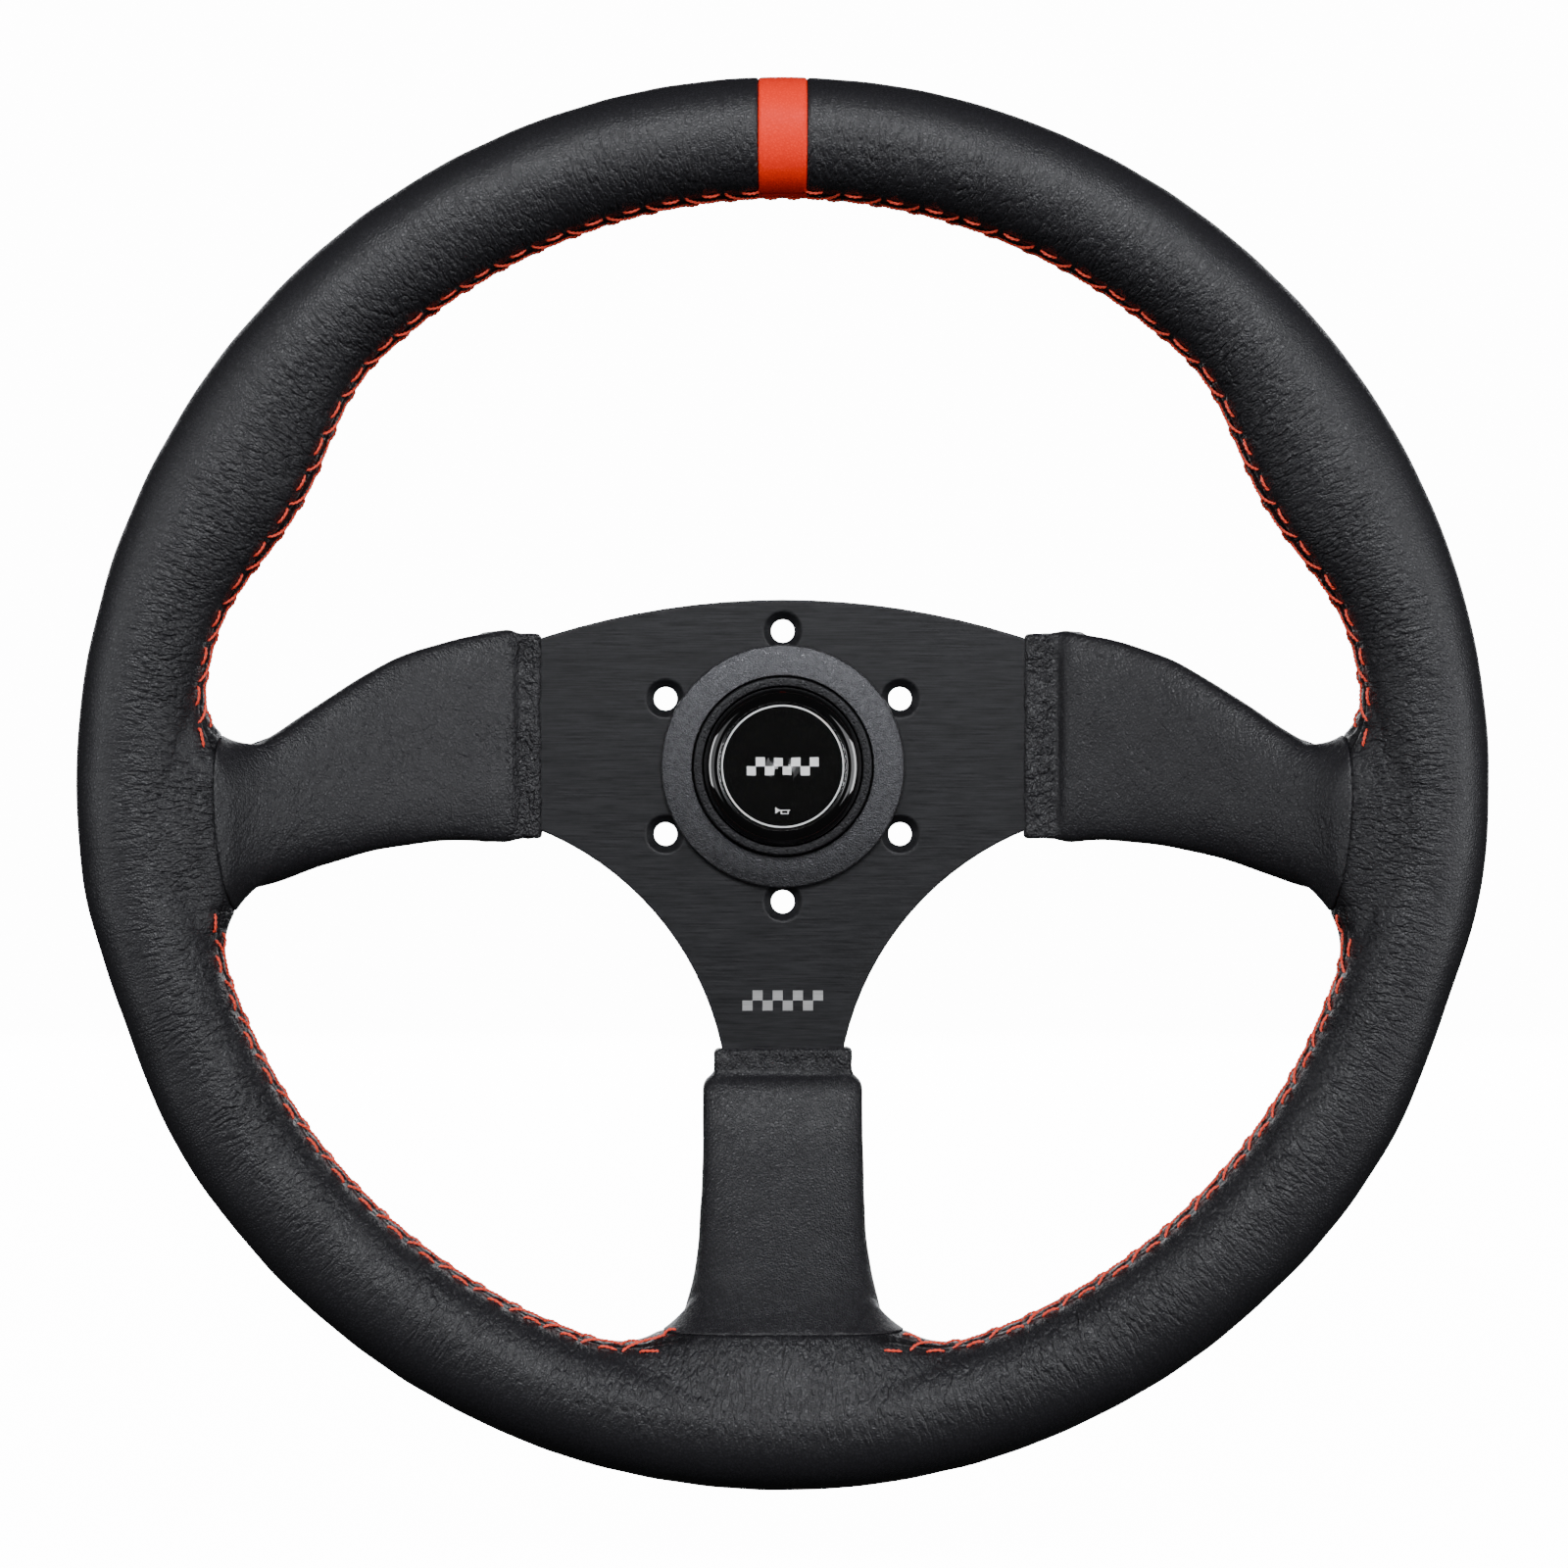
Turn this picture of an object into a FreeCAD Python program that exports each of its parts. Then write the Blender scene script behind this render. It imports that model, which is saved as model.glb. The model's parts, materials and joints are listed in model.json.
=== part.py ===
import FreeCAD, Part

import math
import os
from types import SimpleNamespace

import Sketcher

# A bare three-spoke motorsport steering wheel with a horn button, in millimetres.
# The origin is the centre of the bolt circle on the plate's rear face. +Y points along the steering
# axis away from the driver, +Z towards the rim's top and +X to the driver's right. Everything turned
# is turned about the Y axis, so its sketch has the radius along X and the depth along Y.

DIMENSIONS = [
    # rim: a leather grip on a foam core, moulded round an aluminium ring
    ("rim_outer_radius", 175.0),
    ("rim_inner_radius", 145.4),
    ("rim_depth", 32.0),
    ("rim_reach", 44.0),  # the rim's middle plane is this far in front of the plate's rear face
    ("rim_drop", 4.25),  # the rim's centre is this far below the bolt circle's
    ("rim_roundness", 2.2),  # the exponent of the section's oval
    ("leather_gauge", 1.3),
    ("thumb_bulge", 7.3),
    ("thumb_angle", 60.0),
    ("thumb_half_span", 17.0),
    ("palm_dent", 1.7),
    ("palm_angle", 109.5),
    ("palm_half_span", 13.0),
    ("band_half_angle", 2.15),
    ("core_inner_radius", 154.0),
    ("core_outer_radius", 167.0),
    ("core_gauge", 8.0),
    # spoke frame: a plate with three arms bent forward to the core ring
    ("plate_gauge", 4.0),
    ("crown_height", 43.0),
    ("crown_radius", 202.0),
    ("crown_half_width", 70.0),
    ("scallop_across", 91.9),
    ("scallop_down", 88.6),
    ("scallop_radius", 77.8),
    ("arm_drop", 36.0),
    ("side_bend", 68.0),
    ("side_landing", 146.0),
    ("side_tip", 165.5),
    ("side_tip_top", 7.0),  # below the bolt circle's centre
    ("side_tip_bottom", 24.0),
    ("lower_bend", 80.0),
    ("lower_landing", 148.0),
    ("lower_tip", 170.0),
    ("bolt_circle", 70.0),
    ("bolt_hole", 6.0),
    ("countersink", 10.1),
    ("hub_bore", 50.0),
    ("nut_recess", 57.0),
    ("nut_recess_depth", 2.0),
    ("rivet_shank", 5.0),
    ("rivet_head", 8.0),
    ("rivet_head_gauge", 1.4),
    ("rivet_pitch", 9.0),
    # the leathers' flat cuffs on the plate
    ("cuff_length", 8.6),
    ("side_cuff_top", 34.5),
    ("side_cuff_bottom", 18.6),  # below the bolt circle's centre
    ("lower_cuff_length", 6.8),
    ("lower_cuff_half_width", 17.7),
    # trim ring and its nut
    ("trim_radius", 31.35),
    ("trim_bore", 23.3),
    ("trim_front", 7.0),
    ("trim_bevel", 0.6),
    ("spigot_radius", 24.9),
    ("shoulder_bore", 20.0),
    ("shoulder_gauge", 1.0),
    ("nut_radius", 28.3),
    ("nut_bore", 24.95),
    ("nut_notch", 5.0),
    # horn button
    ("housing_radius", 22.9),
    ("housing_front", 9.8),
    ("housing_cavity", 21.3),
    ("lip_bore", 20.6),
    ("lip_gauge", 1.5),
    ("seal_groove", 21.95),
    ("seal_centre", 4.7),
    ("seal_radius", 0.65),
    ("seal_play", 0.05),
    ("base_radius", 21.2),
    ("base_front", 3.0),
    ("base_boss", 15.0),
    ("base_rear", 1.6),
    ("contact_inner", 5.0),
    ("contact_outer", 9.0),
    ("contact_front", 6.6),
    ("earth_inner", 10.5),
    ("earth_outer", 17.5),
    ("earth_front", 3.4),
    ("blade_width", 6.3),
    ("blade_gauge", 0.8),
    ("blade_length", 10.0),
    ("live_place", 7.0),
    ("earth_place", 12.0),
    ("spring_place", 14.0),
    ("spring_radius", 2.6),
    ("spring_wire", 0.6),
    ("spring_turns", 4.0),
    ("button_travel", 2.5),
    ("cap_radius", 20.3),
    ("cap_flange", 21.0),
    ("cap_flange_gauge", 1.0),
    ("cap_play", 0.05),
    ("cap_crown", 13.2),
    ("cap_shoulder", 12.0),
    ("cap_lip", 0.4),
    ("cap_chamfer", 1.2),
    ("cap_recess", 16.6),
    ("cap_floor", 12.0),
    ("cap_ceiling", 10.2),
    ("cap_bore", 18.5),
    ("disc_radius", 16.4),
    ("disc_gauge", 0.3),
    ("lens_rise", 1.0),
    ("lens_edge", 0.25),
    ("moving_contact_radius", 17.6),
    ("moving_contact_gauge", 0.8),
    ("screw_shank", 1.5),
    ("screw_head", 2.6),
    ("screw_head_gauge", 1.6),
    ("screw_depth", 1.3),
    # sewing
    ("thread_radius", 0.35),
    ("stitch_pitch", 10.1),
    ("stitch_length", 6.0),
    ("stitch_gap", 0.2),
    ("seam_turn", 14.0),  # how far the seam lies round the section, from its innermost point forwards
    ("upper_seam_end", 84.5),
    ("lower_seam_start", 103.0),
    ("lower_seam_end", 169.7),
]

# The spoke pads' sections: name, distance from the hub, then for a side pad the heights of its top
# and bottom and for the lower pad its half width, and last its depth and how far forward its centre is.
SIDE_PAD = [
    ("root", 71.0, 35.3, -19.6, 11.6, 2.4),
    ("neck", 85.0, 32.4, -19.1, 13.5, 7.5),
    ("waist", 100.0, 26.9, -20.8, 16.5, 14.5),
    ("elbow", 115.0, 17.5, -24.6, 20.5, 22.0),
    ("wrist", 130.0, 7.0, -30.0, 24.5, 30.5),
    ("merge", 146.0, 1.0, -33.0, 26.0, 40.5),
    ("anchor", 158.0, -1.0, -33.0, 22.0, 44.0),
]
LOWER_PAD = [
    ("root", 79.5, 20.6, 11.6, 2.4),
    ("neck", 95.0, 20.6, 13.5, 8.5),
    ("waist", 110.0, 20.8, 17.0, 16.5),
    ("elbow", 124.0, 21.8, 21.0, 25.0),
    ("wrist", 136.0, 24.5, 24.5, 33.0),
    ("merge", 148.0, 29.0, 26.0, 41.0),
    ("anchor", 161.0, 29.0, 22.0, 44.0),
]
PAD_ROUNDNESS = {
    "root": 4.5,
    "neck": 3.8,
    "waist": 3.2,
    "elbow": 2.8,
    "wrist": 2.5,
    "merge": 2.4,
    "anchor": 2.2,
}

SECTION_POINTS = 28  # on each oval section of the rim and the pads
COIL_POINTS = 12  # to each turn of a spring
RIM_SECTIONS = 30  # even steps round each half of the rim
FULL_REACH = 260.0  # longer than any part of the wheel, for cutting bodies
VECTOR = FreeCAD.Vector

doc = FreeCAD.newDocument("steering_wheel")
sheet = doc.addObject("Spreadsheet::Sheet", "sizes")


class Size:
    """A number and the spreadsheet expression that it comes from."""

    def __init__(self, value, text=None):
        self.value = float(value)
        self.text = text or repr(float(value))

    def __add__(self, other):
        other = size_of(other)
        return Size(self.value + other.value, f"({self.text} + {other.text})")

    def __sub__(self, other):
        other = size_of(other)
        return Size(self.value - other.value, f"({self.text} - {other.text})")

    def __mul__(self, other):
        other = size_of(other)
        return Size(self.value * other.value, f"({self.text} * {other.text})")

    def __truediv__(self, other):
        other = size_of(other)
        return Size(self.value / other.value, f"({self.text} / {other.text})")

    def __neg__(self):
        return Size(-self.value, f"(0 - {self.text})")

    def root(self):
        return Size(math.sqrt(self.value), f"sqrt({self.text})")


def size_of(value):
    return value if isinstance(value, Size) else Size(value)


def fill_sheet():
    """Writes every driving dimension to the sheet and returns them by name."""
    rows = list(DIMENSIONS)
    for name, reach, top, bottom, depth, forward in SIDE_PAD:
        rows += [
            (f"side_{name}_reach", reach),
            (f"side_{name}_top", top),
            (f"side_{name}_bottom", bottom),
            (f"side_{name}_depth", depth),
            (f"side_{name}_forward", forward),
        ]
    for name, reach, half, depth, forward in LOWER_PAD:
        rows += [
            (f"lower_{name}_reach", reach),
            (f"lower_{name}_half_width", half),
            (f"lower_{name}_depth", depth),
            (f"lower_{name}_forward", forward),
        ]
    for row, (alias, value) in enumerate(rows, 1):
        sheet.set(f"A{row}", alias)
        sheet.set(f"B{row}", repr(value))
        sheet.setAlias(f"B{row}", alias)
    doc.recompute()
    return SimpleNamespace(**{alias: Size(value, f"sizes.{alias}") for alias, value in rows})


dims = fill_sheet()


def number(alias):
    """A dimension's value, as the sheet holds it."""
    return float(sheet.get(alias))


# ---- sketches, turned bodies and booleans ----


def arc_between(start, end, radius, centre_on_left):
    """The arc of this radius from start to end, and whether it runs anticlockwise."""
    middle = (start + end) * 0.5
    chord = end - start
    off = math.sqrt(max(radius**2 - (chord.Length / 2) ** 2, 0.0))
    side = VECTOR(-chord.y, chord.x, 0).normalize()
    centre = middle + side * (off if centre_on_left else -off)
    first = math.atan2(start.y - centre.y, start.x - centre.x)
    last = math.atan2(end.y - centre.y, end.x - centre.x)
    circle = Part.Circle(centre, VECTOR(0, 0, 1), radius)
    if centre_on_left:
        return Part.ArcOfCircle(circle, first, last)
    return Part.ArcOfCircle(circle, last, first)


def bind(sketch, constraint, size):
    """Adds a constraint whose value is bound to the sheet."""
    index = sketch.addConstraint(Sketcher.Constraint(*constraint, size.value))
    sketch.setExpression(f"Constraints[{index}]", size.text)


def draw_outline(sketch, corners):
    """Draws a closed outline through corners, each (x, y) or (x, y, radius, centre_on_left).

    The longer form means that the edge from this corner to the next is an arc."""
    corners = [tuple(size_of(v) if i < 3 else v for i, v in enumerate(c)) for c in corners]
    points = [VECTOR(c[0].value, c[1].value, 0) for c in corners]
    edges = []
    for i, corner in enumerate(corners):
        start = points[i]
        end = points[(i + 1) % len(points)]
        if len(corner) == 2:
            edges.append((sketch.addGeometry(Part.LineSegment(start, end)), 1, 2))
            continue
        index = sketch.addGeometry(arc_between(start, end, corner[2].value, corner[3]))
        edges.append((index, 1, 2) if corner[3] else (index, 2, 1))
    for i, (index, _, last) in enumerate(edges):
        following, first, _ = edges[(i + 1) % len(edges)]
        sketch.addConstraint(Sketcher.Constraint("Coincident", index, last, following, first))
    for corner, (index, first, _) in zip(corners, edges):
        bind(sketch, ("DistanceX", -1, 1, index, first), corner[0])
        bind(sketch, ("DistanceY", -1, 1, index, first), corner[1])
        if len(corner) > 2:
            bind(sketch, ("Radius", index), corner[2])


def origin_plane(body, role):
    return next(f for f in body.Origin.OriginFeatures if f.Role == role)


def turned(label, corners):
    """A body turned about the Y axis from an outline of (radius, depth) corners."""
    body = doc.addObject("PartDesign::Body", label)
    sketch = body.newObject("Sketcher::SketchObject", f"{label}_profile")
    sketch.AttachmentSupport = [(origin_plane(body, "XY_Plane"), "")]
    sketch.MapMode = "FlatFace"
    draw_outline(sketch, corners)
    turn = body.newObject("PartDesign::Revolution", f"{label}_turn")
    turn.Profile = sketch
    turn.ReferenceAxis = (sketch, ["V_Axis"])
    turn.Angle = 360
    return body


def prism(label, corners, turn_axis, turn_angle, direction, reach=FULL_REACH):
    """A block that reaches both ways along direction from an outline drawn in XY and turned as told."""
    sketch = doc.addObject("Sketcher::SketchObject", f"{label}_outline")
    sketch.Placement = FreeCAD.Placement(VECTOR(), FreeCAD.Rotation(turn_axis, turn_angle))
    draw_outline(sketch, corners)
    block = doc.addObject("Part::Extrusion", label)
    block.Base = sketch
    block.DirMode = "Custom"
    block.Dir = direction
    block.LengthFwd = reach
    block.LengthRev = reach
    block.Solid = True
    return block


def joined(kind, label, shapes):
    """A Part::MultiFuse or Part::MultiCommon of shapes."""
    whole = doc.addObject(f"Part::{kind}", label)
    whole.Shapes = shapes
    return whole


def cut(label, base, tool):
    piece = doc.addObject("Part::Cut", label)
    piece.Base = base
    piece.Tool = tool
    return piece


def rod(label, radius, length, depth, across=0.0, up=0.0):
    """A cylinder along +Y that starts at this depth."""
    cylinder = doc.addObject("Part::Cylinder", label)
    cylinder.setExpression("Radius", size_of(radius).text)
    cylinder.setExpression("Height", size_of(length).text)
    turn = FreeCAD.Rotation(VECTOR(1, 0, 0), -90)
    cylinder.Placement = FreeCAD.Placement(VECTOR(), turn)
    for name, value in (("x", across), ("y", depth), ("z", up)):
        cylinder.setExpression(f"Placement.Base.{name}", size_of(value).text)
    return cylinder


def cone(label, wide, narrow, length, depth, across, up):
    """A cone along +Y, wide at its front end."""
    tool = doc.addObject("Part::Cone", label)
    tool.setExpression("Radius1", size_of(wide).text)
    tool.setExpression("Radius2", size_of(narrow).text)
    tool.setExpression("Height", size_of(length).text)
    tool.Placement = FreeCAD.Placement(VECTOR(), FreeCAD.Rotation(VECTOR(1, 0, 0), -90))
    for name, value in (("x", across), ("y", depth), ("z", up)):
        tool.setExpression(f"Placement.Base.{name}", size_of(value).text)
    return tool


def box(label, width, depth, height, across, front, bottom):
    block = doc.addObject("Part::Box", label)
    for name, value in (("Length", width), ("Width", depth), ("Height", height)):
        block.setExpression(name, size_of(value).text)
    for name, value in (("x", across), ("y", front), ("z", bottom)):
        block.setExpression(f"Placement.Base.{name}", size_of(value).text)
    return block


def feature(label, shape):
    """A sub-part whose shape is worked out here, from the sheet's sizes."""
    piece = doc.addObject("Part::Feature", label)
    piece.Shape = shape
    piece.Placement = FreeCAD.Placement()
    return piece


# ---- spoke frame, core ring and rivets ----


def bent_strip(label, bend, landing, tip, plane_turn, direction):
    """A plate that is flat round the hub and steps forward to the core ring at both ends of one line."""
    half = dims.plate_gauge / 2
    run = landing - bend
    slant = (run * run + dims.arm_drop * dims.arm_drop).root()
    mitre = half * (slant - run) / dims.arm_drop
    rear = Size(0)
    front = -dims.plate_gauge
    low_rear = rear - dims.arm_drop
    low_front = front - dims.arm_drop
    corners = [
        (-tip, low_front),
        (-landing + mitre, low_front),
        (-bend + mitre, front),
        (bend - mitre, front),
        (landing - mitre, low_front),
        (tip, low_front),
        (tip, low_rear),
        (landing + mitre, low_rear),
        (bend + mitre, rear),
        (-bend - mitre, rear),
        (-landing - mitre, low_rear),
        (-tip, low_rear),
    ]
    return prism(label, corners, *plane_turn, direction)


def frame_outline():
    """The frame seen from the front: a crowned top, two side arms and a lower arm between two scallops."""
    crown_drop = dims.crown_radius - (dims.crown_radius * dims.crown_radius
                                      - dims.crown_half_width * dims.crown_half_width).root()
    shoulder = dims.crown_height - crown_drop
    waist = dims.scallop_across - dims.scallop_radius
    armpit = dims.scallop_radius - dims.scallop_down
    right = [
        (dims.side_tip, -dims.side_tip_top),
        (dims.side_tip, -dims.side_tip_bottom),
        (dims.side_landing, -dims.side_tip_bottom),
        (dims.scallop_across, armpit, dims.scallop_radius, True),
        (waist, -dims.scallop_down),
        (waist, -dims.lower_tip),
    ]
    left = [
        (-waist, -dims.lower_tip),
        (-waist, -dims.scallop_down, dims.scallop_radius, True),
        (-dims.scallop_across, armpit),
        (-dims.side_landing, -dims.side_tip_bottom),
        (-dims.side_tip, -dims.side_tip_bottom),
        (-dims.side_tip, -dims.side_tip_top),
    ]
    crown = [
        (-dims.crown_half_width, shoulder, dims.crown_radius, False),
        (dims.crown_half_width, shoulder),
    ]
    return crown + right + left


def rivet_places():
    """(across, up) of each rivet: two through the end of each arm."""
    middle = (dims.core_inner_radius + dims.core_outer_radius) / 2
    half = dims.rivet_pitch / 2
    side_up = -(dims.side_tip_top + dims.side_tip_bottom) / 2
    return [
        (middle, side_up + half),
        (middle, side_up - half),
        (-middle, side_up + half),
        (-middle, side_up - half),
        (half, -middle - dims.rim_drop),
        (-half, -middle - dims.rim_drop),
    ]


def make_rivets():
    """Six solid rivets, each a shank with a flat head at both ends."""
    tab_rear = -dims.arm_drop
    ring_front = tab_rear - dims.plate_gauge - dims.core_gauge
    rivets = []
    for i, (across, up) in enumerate(rivet_places(), 1):
        shank = rod(f"rivet_shank_{i}", dims.rivet_shank / 2, tab_rear - ring_front, ring_front, across, up)
        head = dims.rivet_head / 2
        gauge = dims.rivet_head_gauge
        rear = rod(f"rivet_rear_{i}", head, gauge, tab_rear, across, up)
        front = rod(f"rivet_front_{i}", head, gauge, ring_front - gauge, across, up)
        rivets.append(joined("MultiFuse", f"rivet_{i}", [shank, rear, front]))
    group = doc.addObject("Part::Compound", "spoke_rivets")
    group.Links = rivets
    return group


def bolt_tools():
    """The six bolt holes with their countersinks, the first at the top."""
    tools = []
    sink = (dims.countersink - dims.bolt_hole) / 2
    for i in range(6):
        angle = math.radians(60 * i)
        across = dims.bolt_circle / 2 * round(math.sin(angle), 12)
        up = dims.bolt_circle / 2 * round(math.cos(angle), 12)
        front = -dims.plate_gauge
        tools.append(rod(f"bolt_hole_{i + 1}", dims.bolt_hole / 2, dims.plate_gauge, front, across, up))
        tools.append(
            cone(f"countersink_{i + 1}", dims.countersink / 2, dims.bolt_hole / 2, sink, front, across, up)
        )
    return tools


def make_frame(rivets):
    """The spoke frame: two bent strips trimmed to the outline, joined at the hub, then drilled."""
    outline = prism("frame_outline", frame_outline(), VECTOR(1, 0, 0), 90, VECTOR(0, 1, 0))
    side = bent_strip("side_strip", dims.side_bend, dims.side_landing, dims.side_tip,
                      (VECTOR(0, 0, 1), 0), VECTOR(0, 0, 1))
    lower = bent_strip("lower_strip", dims.lower_bend, dims.lower_landing, dims.lower_tip,
                       (VECTOR(0, 1, 0), 90), VECTOR(1, 0, 0))
    side_arms = joined("MultiCommon", "side_arms", [outline, side, side_zone()])
    lower_arm = joined("MultiCommon", "lower_arm", [outline, lower, lower_zone()])
    blank = joined("MultiFuse", "frame_blank", [side_arms, lower_arm])
    bore = rod("hub_bore_tool", dims.hub_bore / 2, dims.plate_gauge, -dims.plate_gauge)
    recess = rod("nut_recess_tool", dims.nut_recess / 2, dims.nut_recess_depth, -dims.nut_recess_depth)
    tools = joined("MultiFuse", "frame_tools", bolt_tools() + [bore, recess])
    drilled = cut("frame_drilled", blank, tools)
    return cut("spoke_frame", drilled, rivets)


def side_zone():
    """The space above the lower arm's own stretch, where the frame is bent for the side arms."""
    edge = dims.lower_bend - dims.plate_gauge
    wide = dims.side_tip * 2
    return box("side_zone", wide, dims.rim_reach * 2, edge + dims.crown_height * 2,
               -dims.side_tip, -dims.rim_reach - dims.plate_gauge, -edge)


def lower_zone():
    """The space between the side arms' bends, where the frame is bent for the lower arm."""
    edge = dims.side_bend - dims.plate_gauge
    return box("lower_zone", edge * 2, dims.rim_reach * 2, dims.lower_tip,
               -edge, -dims.rim_reach - dims.plate_gauge, -dims.lower_tip)


def make_core_ring(rivets):
    """The flat ring that runs round inside the rim, in front of the arms' ends."""
    rear = -dims.arm_drop - dims.plate_gauge
    front = rear - dims.core_gauge
    corners = [
        (dims.core_inner_radius, rear),
        (dims.core_inner_radius, front),
        (dims.core_outer_radius, front),
        (dims.core_outer_radius, rear),
    ]
    blank = turned("core_ring_blank", corners)
    blank.setExpression("Placement.Base.z", f"0 - {dims.rim_drop.text}")
    return cut("rim_core_ring", blank, rivets)


# ---- rim and pads: smooth ovals lofted one after another ----


def oval(half_across, half_depth, roundness):
    """(across, depth) points evenly turned round a rounded oval about its own centre."""
    points = []
    for i in range(SECTION_POINTS):
        turn = 2 * math.pi * i / SECTION_POINTS
        across = abs(math.cos(turn) / half_across) ** roundness
        depth = abs(math.sin(turn) / half_depth) ** roundness
        radius = (across + depth) ** (-1 / roundness)
        points.append((radius * math.cos(turn), radius * math.sin(turn)))
    return points


def smooth_loop(points):
    curve = Part.BSplineCurve()
    curve.interpolate(Points=points, PeriodicFlag=True)
    return Part.Wire([curve.toShape()])


def swell(angle, centre, half_span):
    """1 at the centre of a bump, falling smoothly to 0 at half_span either side."""
    off = abs(angle - centre) / half_span
    return math.cos(off * math.pi / 2) ** 2 if off < 1 else 0.0


def rim_span(angle):
    """The rim's inner and outer radius at an angle from the top, 0 to 180."""
    inner = number("rim_inner_radius")
    inner -= number("thumb_bulge") * swell(angle, number("thumb_angle"), number("thumb_half_span"))
    outer = number("rim_outer_radius")
    outer -= number("palm_dent") * swell(angle, number("palm_angle"), number("palm_half_span"))
    return inner, outer


def rim_point(angle, radius, depth):
    turn = math.radians(angle)
    return VECTOR(radius * math.sin(turn), depth, radius * math.cos(turn) - number("rim_drop"))


def rim_section(angle, inset):
    """The rim's section at an angle, as a loop, inset all round."""
    inner, outer = rim_span(abs(angle))
    half = (outer - inner) / 2 - inset
    middle = (outer + inner) / 2
    plane = -number("rim_reach")
    points = oval(half, number("rim_depth") / 2 - inset, number("rim_roundness"))
    return smooth_loop([rim_point(angle, middle + across, plane + depth) for across, depth in points])


def whole_rim(start, inset):
    """The rim, inset all round, from an angle right of the top to the same angle left of it."""
    step = (180.0 - start) / RIM_SECTIONS
    loops = [rim_section(start + step * i, inset) for i in range(RIM_SECTIONS + 1)]
    right = Part.makeLoft(loops, True, False)
    return right.fuse(right.mirror(VECTOR(), VECTOR(1, 0, 0)))


def side_section(name, inset, reach):
    top, bottom = number(f"side_{name}_top"), number(f"side_{name}_bottom")
    depth, forward = number(f"side_{name}_depth"), number(f"side_{name}_forward")
    points = oval((top - bottom) / 2 - inset, depth / 2 - inset, PAD_ROUNDNESS[name])
    middle = (top + bottom) / 2
    return smooth_loop([VECTOR(reach, y - forward, middle + up) for up, y in points])


def lower_section(name, inset, reach):
    half = number(f"lower_{name}_half_width")
    depth, forward = number(f"lower_{name}_depth"), number(f"lower_{name}_forward")
    points = oval(half - inset, depth / 2 - inset, PAD_ROUNDNESS[name])
    return smooth_loop([VECTOR(across, y - forward, -reach) for across, y in points])


def pad(prefix, stations, section, inset):
    """A spoke pad lofted from its root to inside the rim, inset all round and at its root."""
    loops = []
    for station in stations:
        name = station[0]
        reach = number(f"{prefix}_{name}_reach")
        loops.append(section(name, inset, reach + (inset if name == "root" else 0.0)))
    return Part.makeLoft(loops, True, False)


def all_pads(inset):
    """The right, left and lower pads."""
    right = pad("side", SIDE_PAD, side_section, inset)
    left = right.mirror(VECTOR(), VECTOR(1, 0, 0))
    lower = pad("lower", LOWER_PAD, lower_section, inset)
    return right, left, lower


def cuffs():
    """The flat leather sleeves over the plate at each pad's root: right, left and lower."""
    skin = number("leather_gauge")
    deep = number("plate_gauge") + 2 * skin
    front = -number("plate_gauge") - skin
    length = number("cuff_length") + skin
    start = number("side_root_reach") - number("cuff_length")
    top, bottom = number("side_cuff_top"), -number("side_cuff_bottom")
    right = Part.makeBox(length, deep, top - bottom, VECTOR(start, front, bottom))
    left = right.mirror(VECTOR(), VECTOR(1, 0, 0))
    half = number("lower_cuff_half_width")
    low = number("lower_root_reach") + skin
    lower = Part.makeBox(2 * half, deep, number("lower_cuff_length") + skin, VECTOR(-half, front, -low))
    return right, left, lower


def make_grip(frame, ring, rivets):
    """The foam, the rim's leather, the band at the top and the three spoke leathers."""
    skin = number("leather_gauge")
    band = number("band_half_angle")
    metal = [frame.Shape, ring.Shape] + list(rivets.Shape.Solids)
    rim_outer = whole_rim(0.0, 0.0)
    foam_rim = whole_rim(0.0, skin)
    foam_pads = all_pads(skin)
    foam = foam_rim.fuse(list(foam_pads)).cut(metal)
    feature("grip_foam", largest(foam))

    leather = whole_rim(band, 0.0).cut([foam_rim] + list(foam_pads) + [frame.Shape])
    feature("rim_leather", largest(leather))
    stations = [-band, 0.0, band]
    outer = Part.makeLoft([rim_section(angle, 0.0) for angle in stations], True, False)
    feature("centre_band", outer.cut(foam_rim))

    names = ("right_spoke_leather", "left_spoke_leather", "lower_spoke_leather")
    for name, skin_pad, foam_pad, cuff in zip(names, all_pads(0.0), foam_pads, cuffs()):
        shell = skin_pad.fuse(cuff).cut([foam_pad, frame.Shape, rim_outer])
        feature(name, largest(shell))


def largest(shape):
    """The largest solid of a shape, without any sliver that a cut has left beside it."""
    return max(shape.Solids, key=lambda solid: solid.Volume)


# ---- sewing ----


def stitch(start, end):
    """A short straight thread with round ends."""
    radius = number("thread_radius")
    along = end - start
    body = Part.makeCylinder(radius, along.Length, start, along)
    return body.fuse([Part.makeSphere(radius, start), Part.makeSphere(radius, end)]).removeSplitter()


def seam_point(angle):
    """A point just off the leather at the seam, at an angle from the top, negative on the left."""
    inner, outer = rim_span(abs(angle))
    half_across, half_depth = (outer - inner) / 2, number("rim_depth") / 2
    turn = math.radians(number("seam_turn"))
    power = number("rim_roundness")
    across = abs(math.cos(turn) / half_across) ** power
    depth = abs(math.sin(turn) / half_depth) ** power
    reach = (across + depth) ** (-1 / power) + number("thread_radius") + number("stitch_gap")
    radius = (inner + outer) / 2 - reach * math.cos(turn)
    return rim_point(angle, radius, -number("rim_reach") - reach * math.sin(turn))


def rim_seam(start, end):
    """Evenly spaced stitches along the rim's inner edge between two angles."""
    radius = number("rim_inner_radius")
    half = math.degrees(number("stitch_length") / radius) / 2
    count = round(math.radians(end - start) * radius / number("stitch_pitch"))
    step = (end - start) / count
    middles = [start + step * (i + 0.5) for i in range(count)]
    return Part.makeCompound([stitch(seam_point(a - half), seam_point(a + half)) for a in middles])


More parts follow.
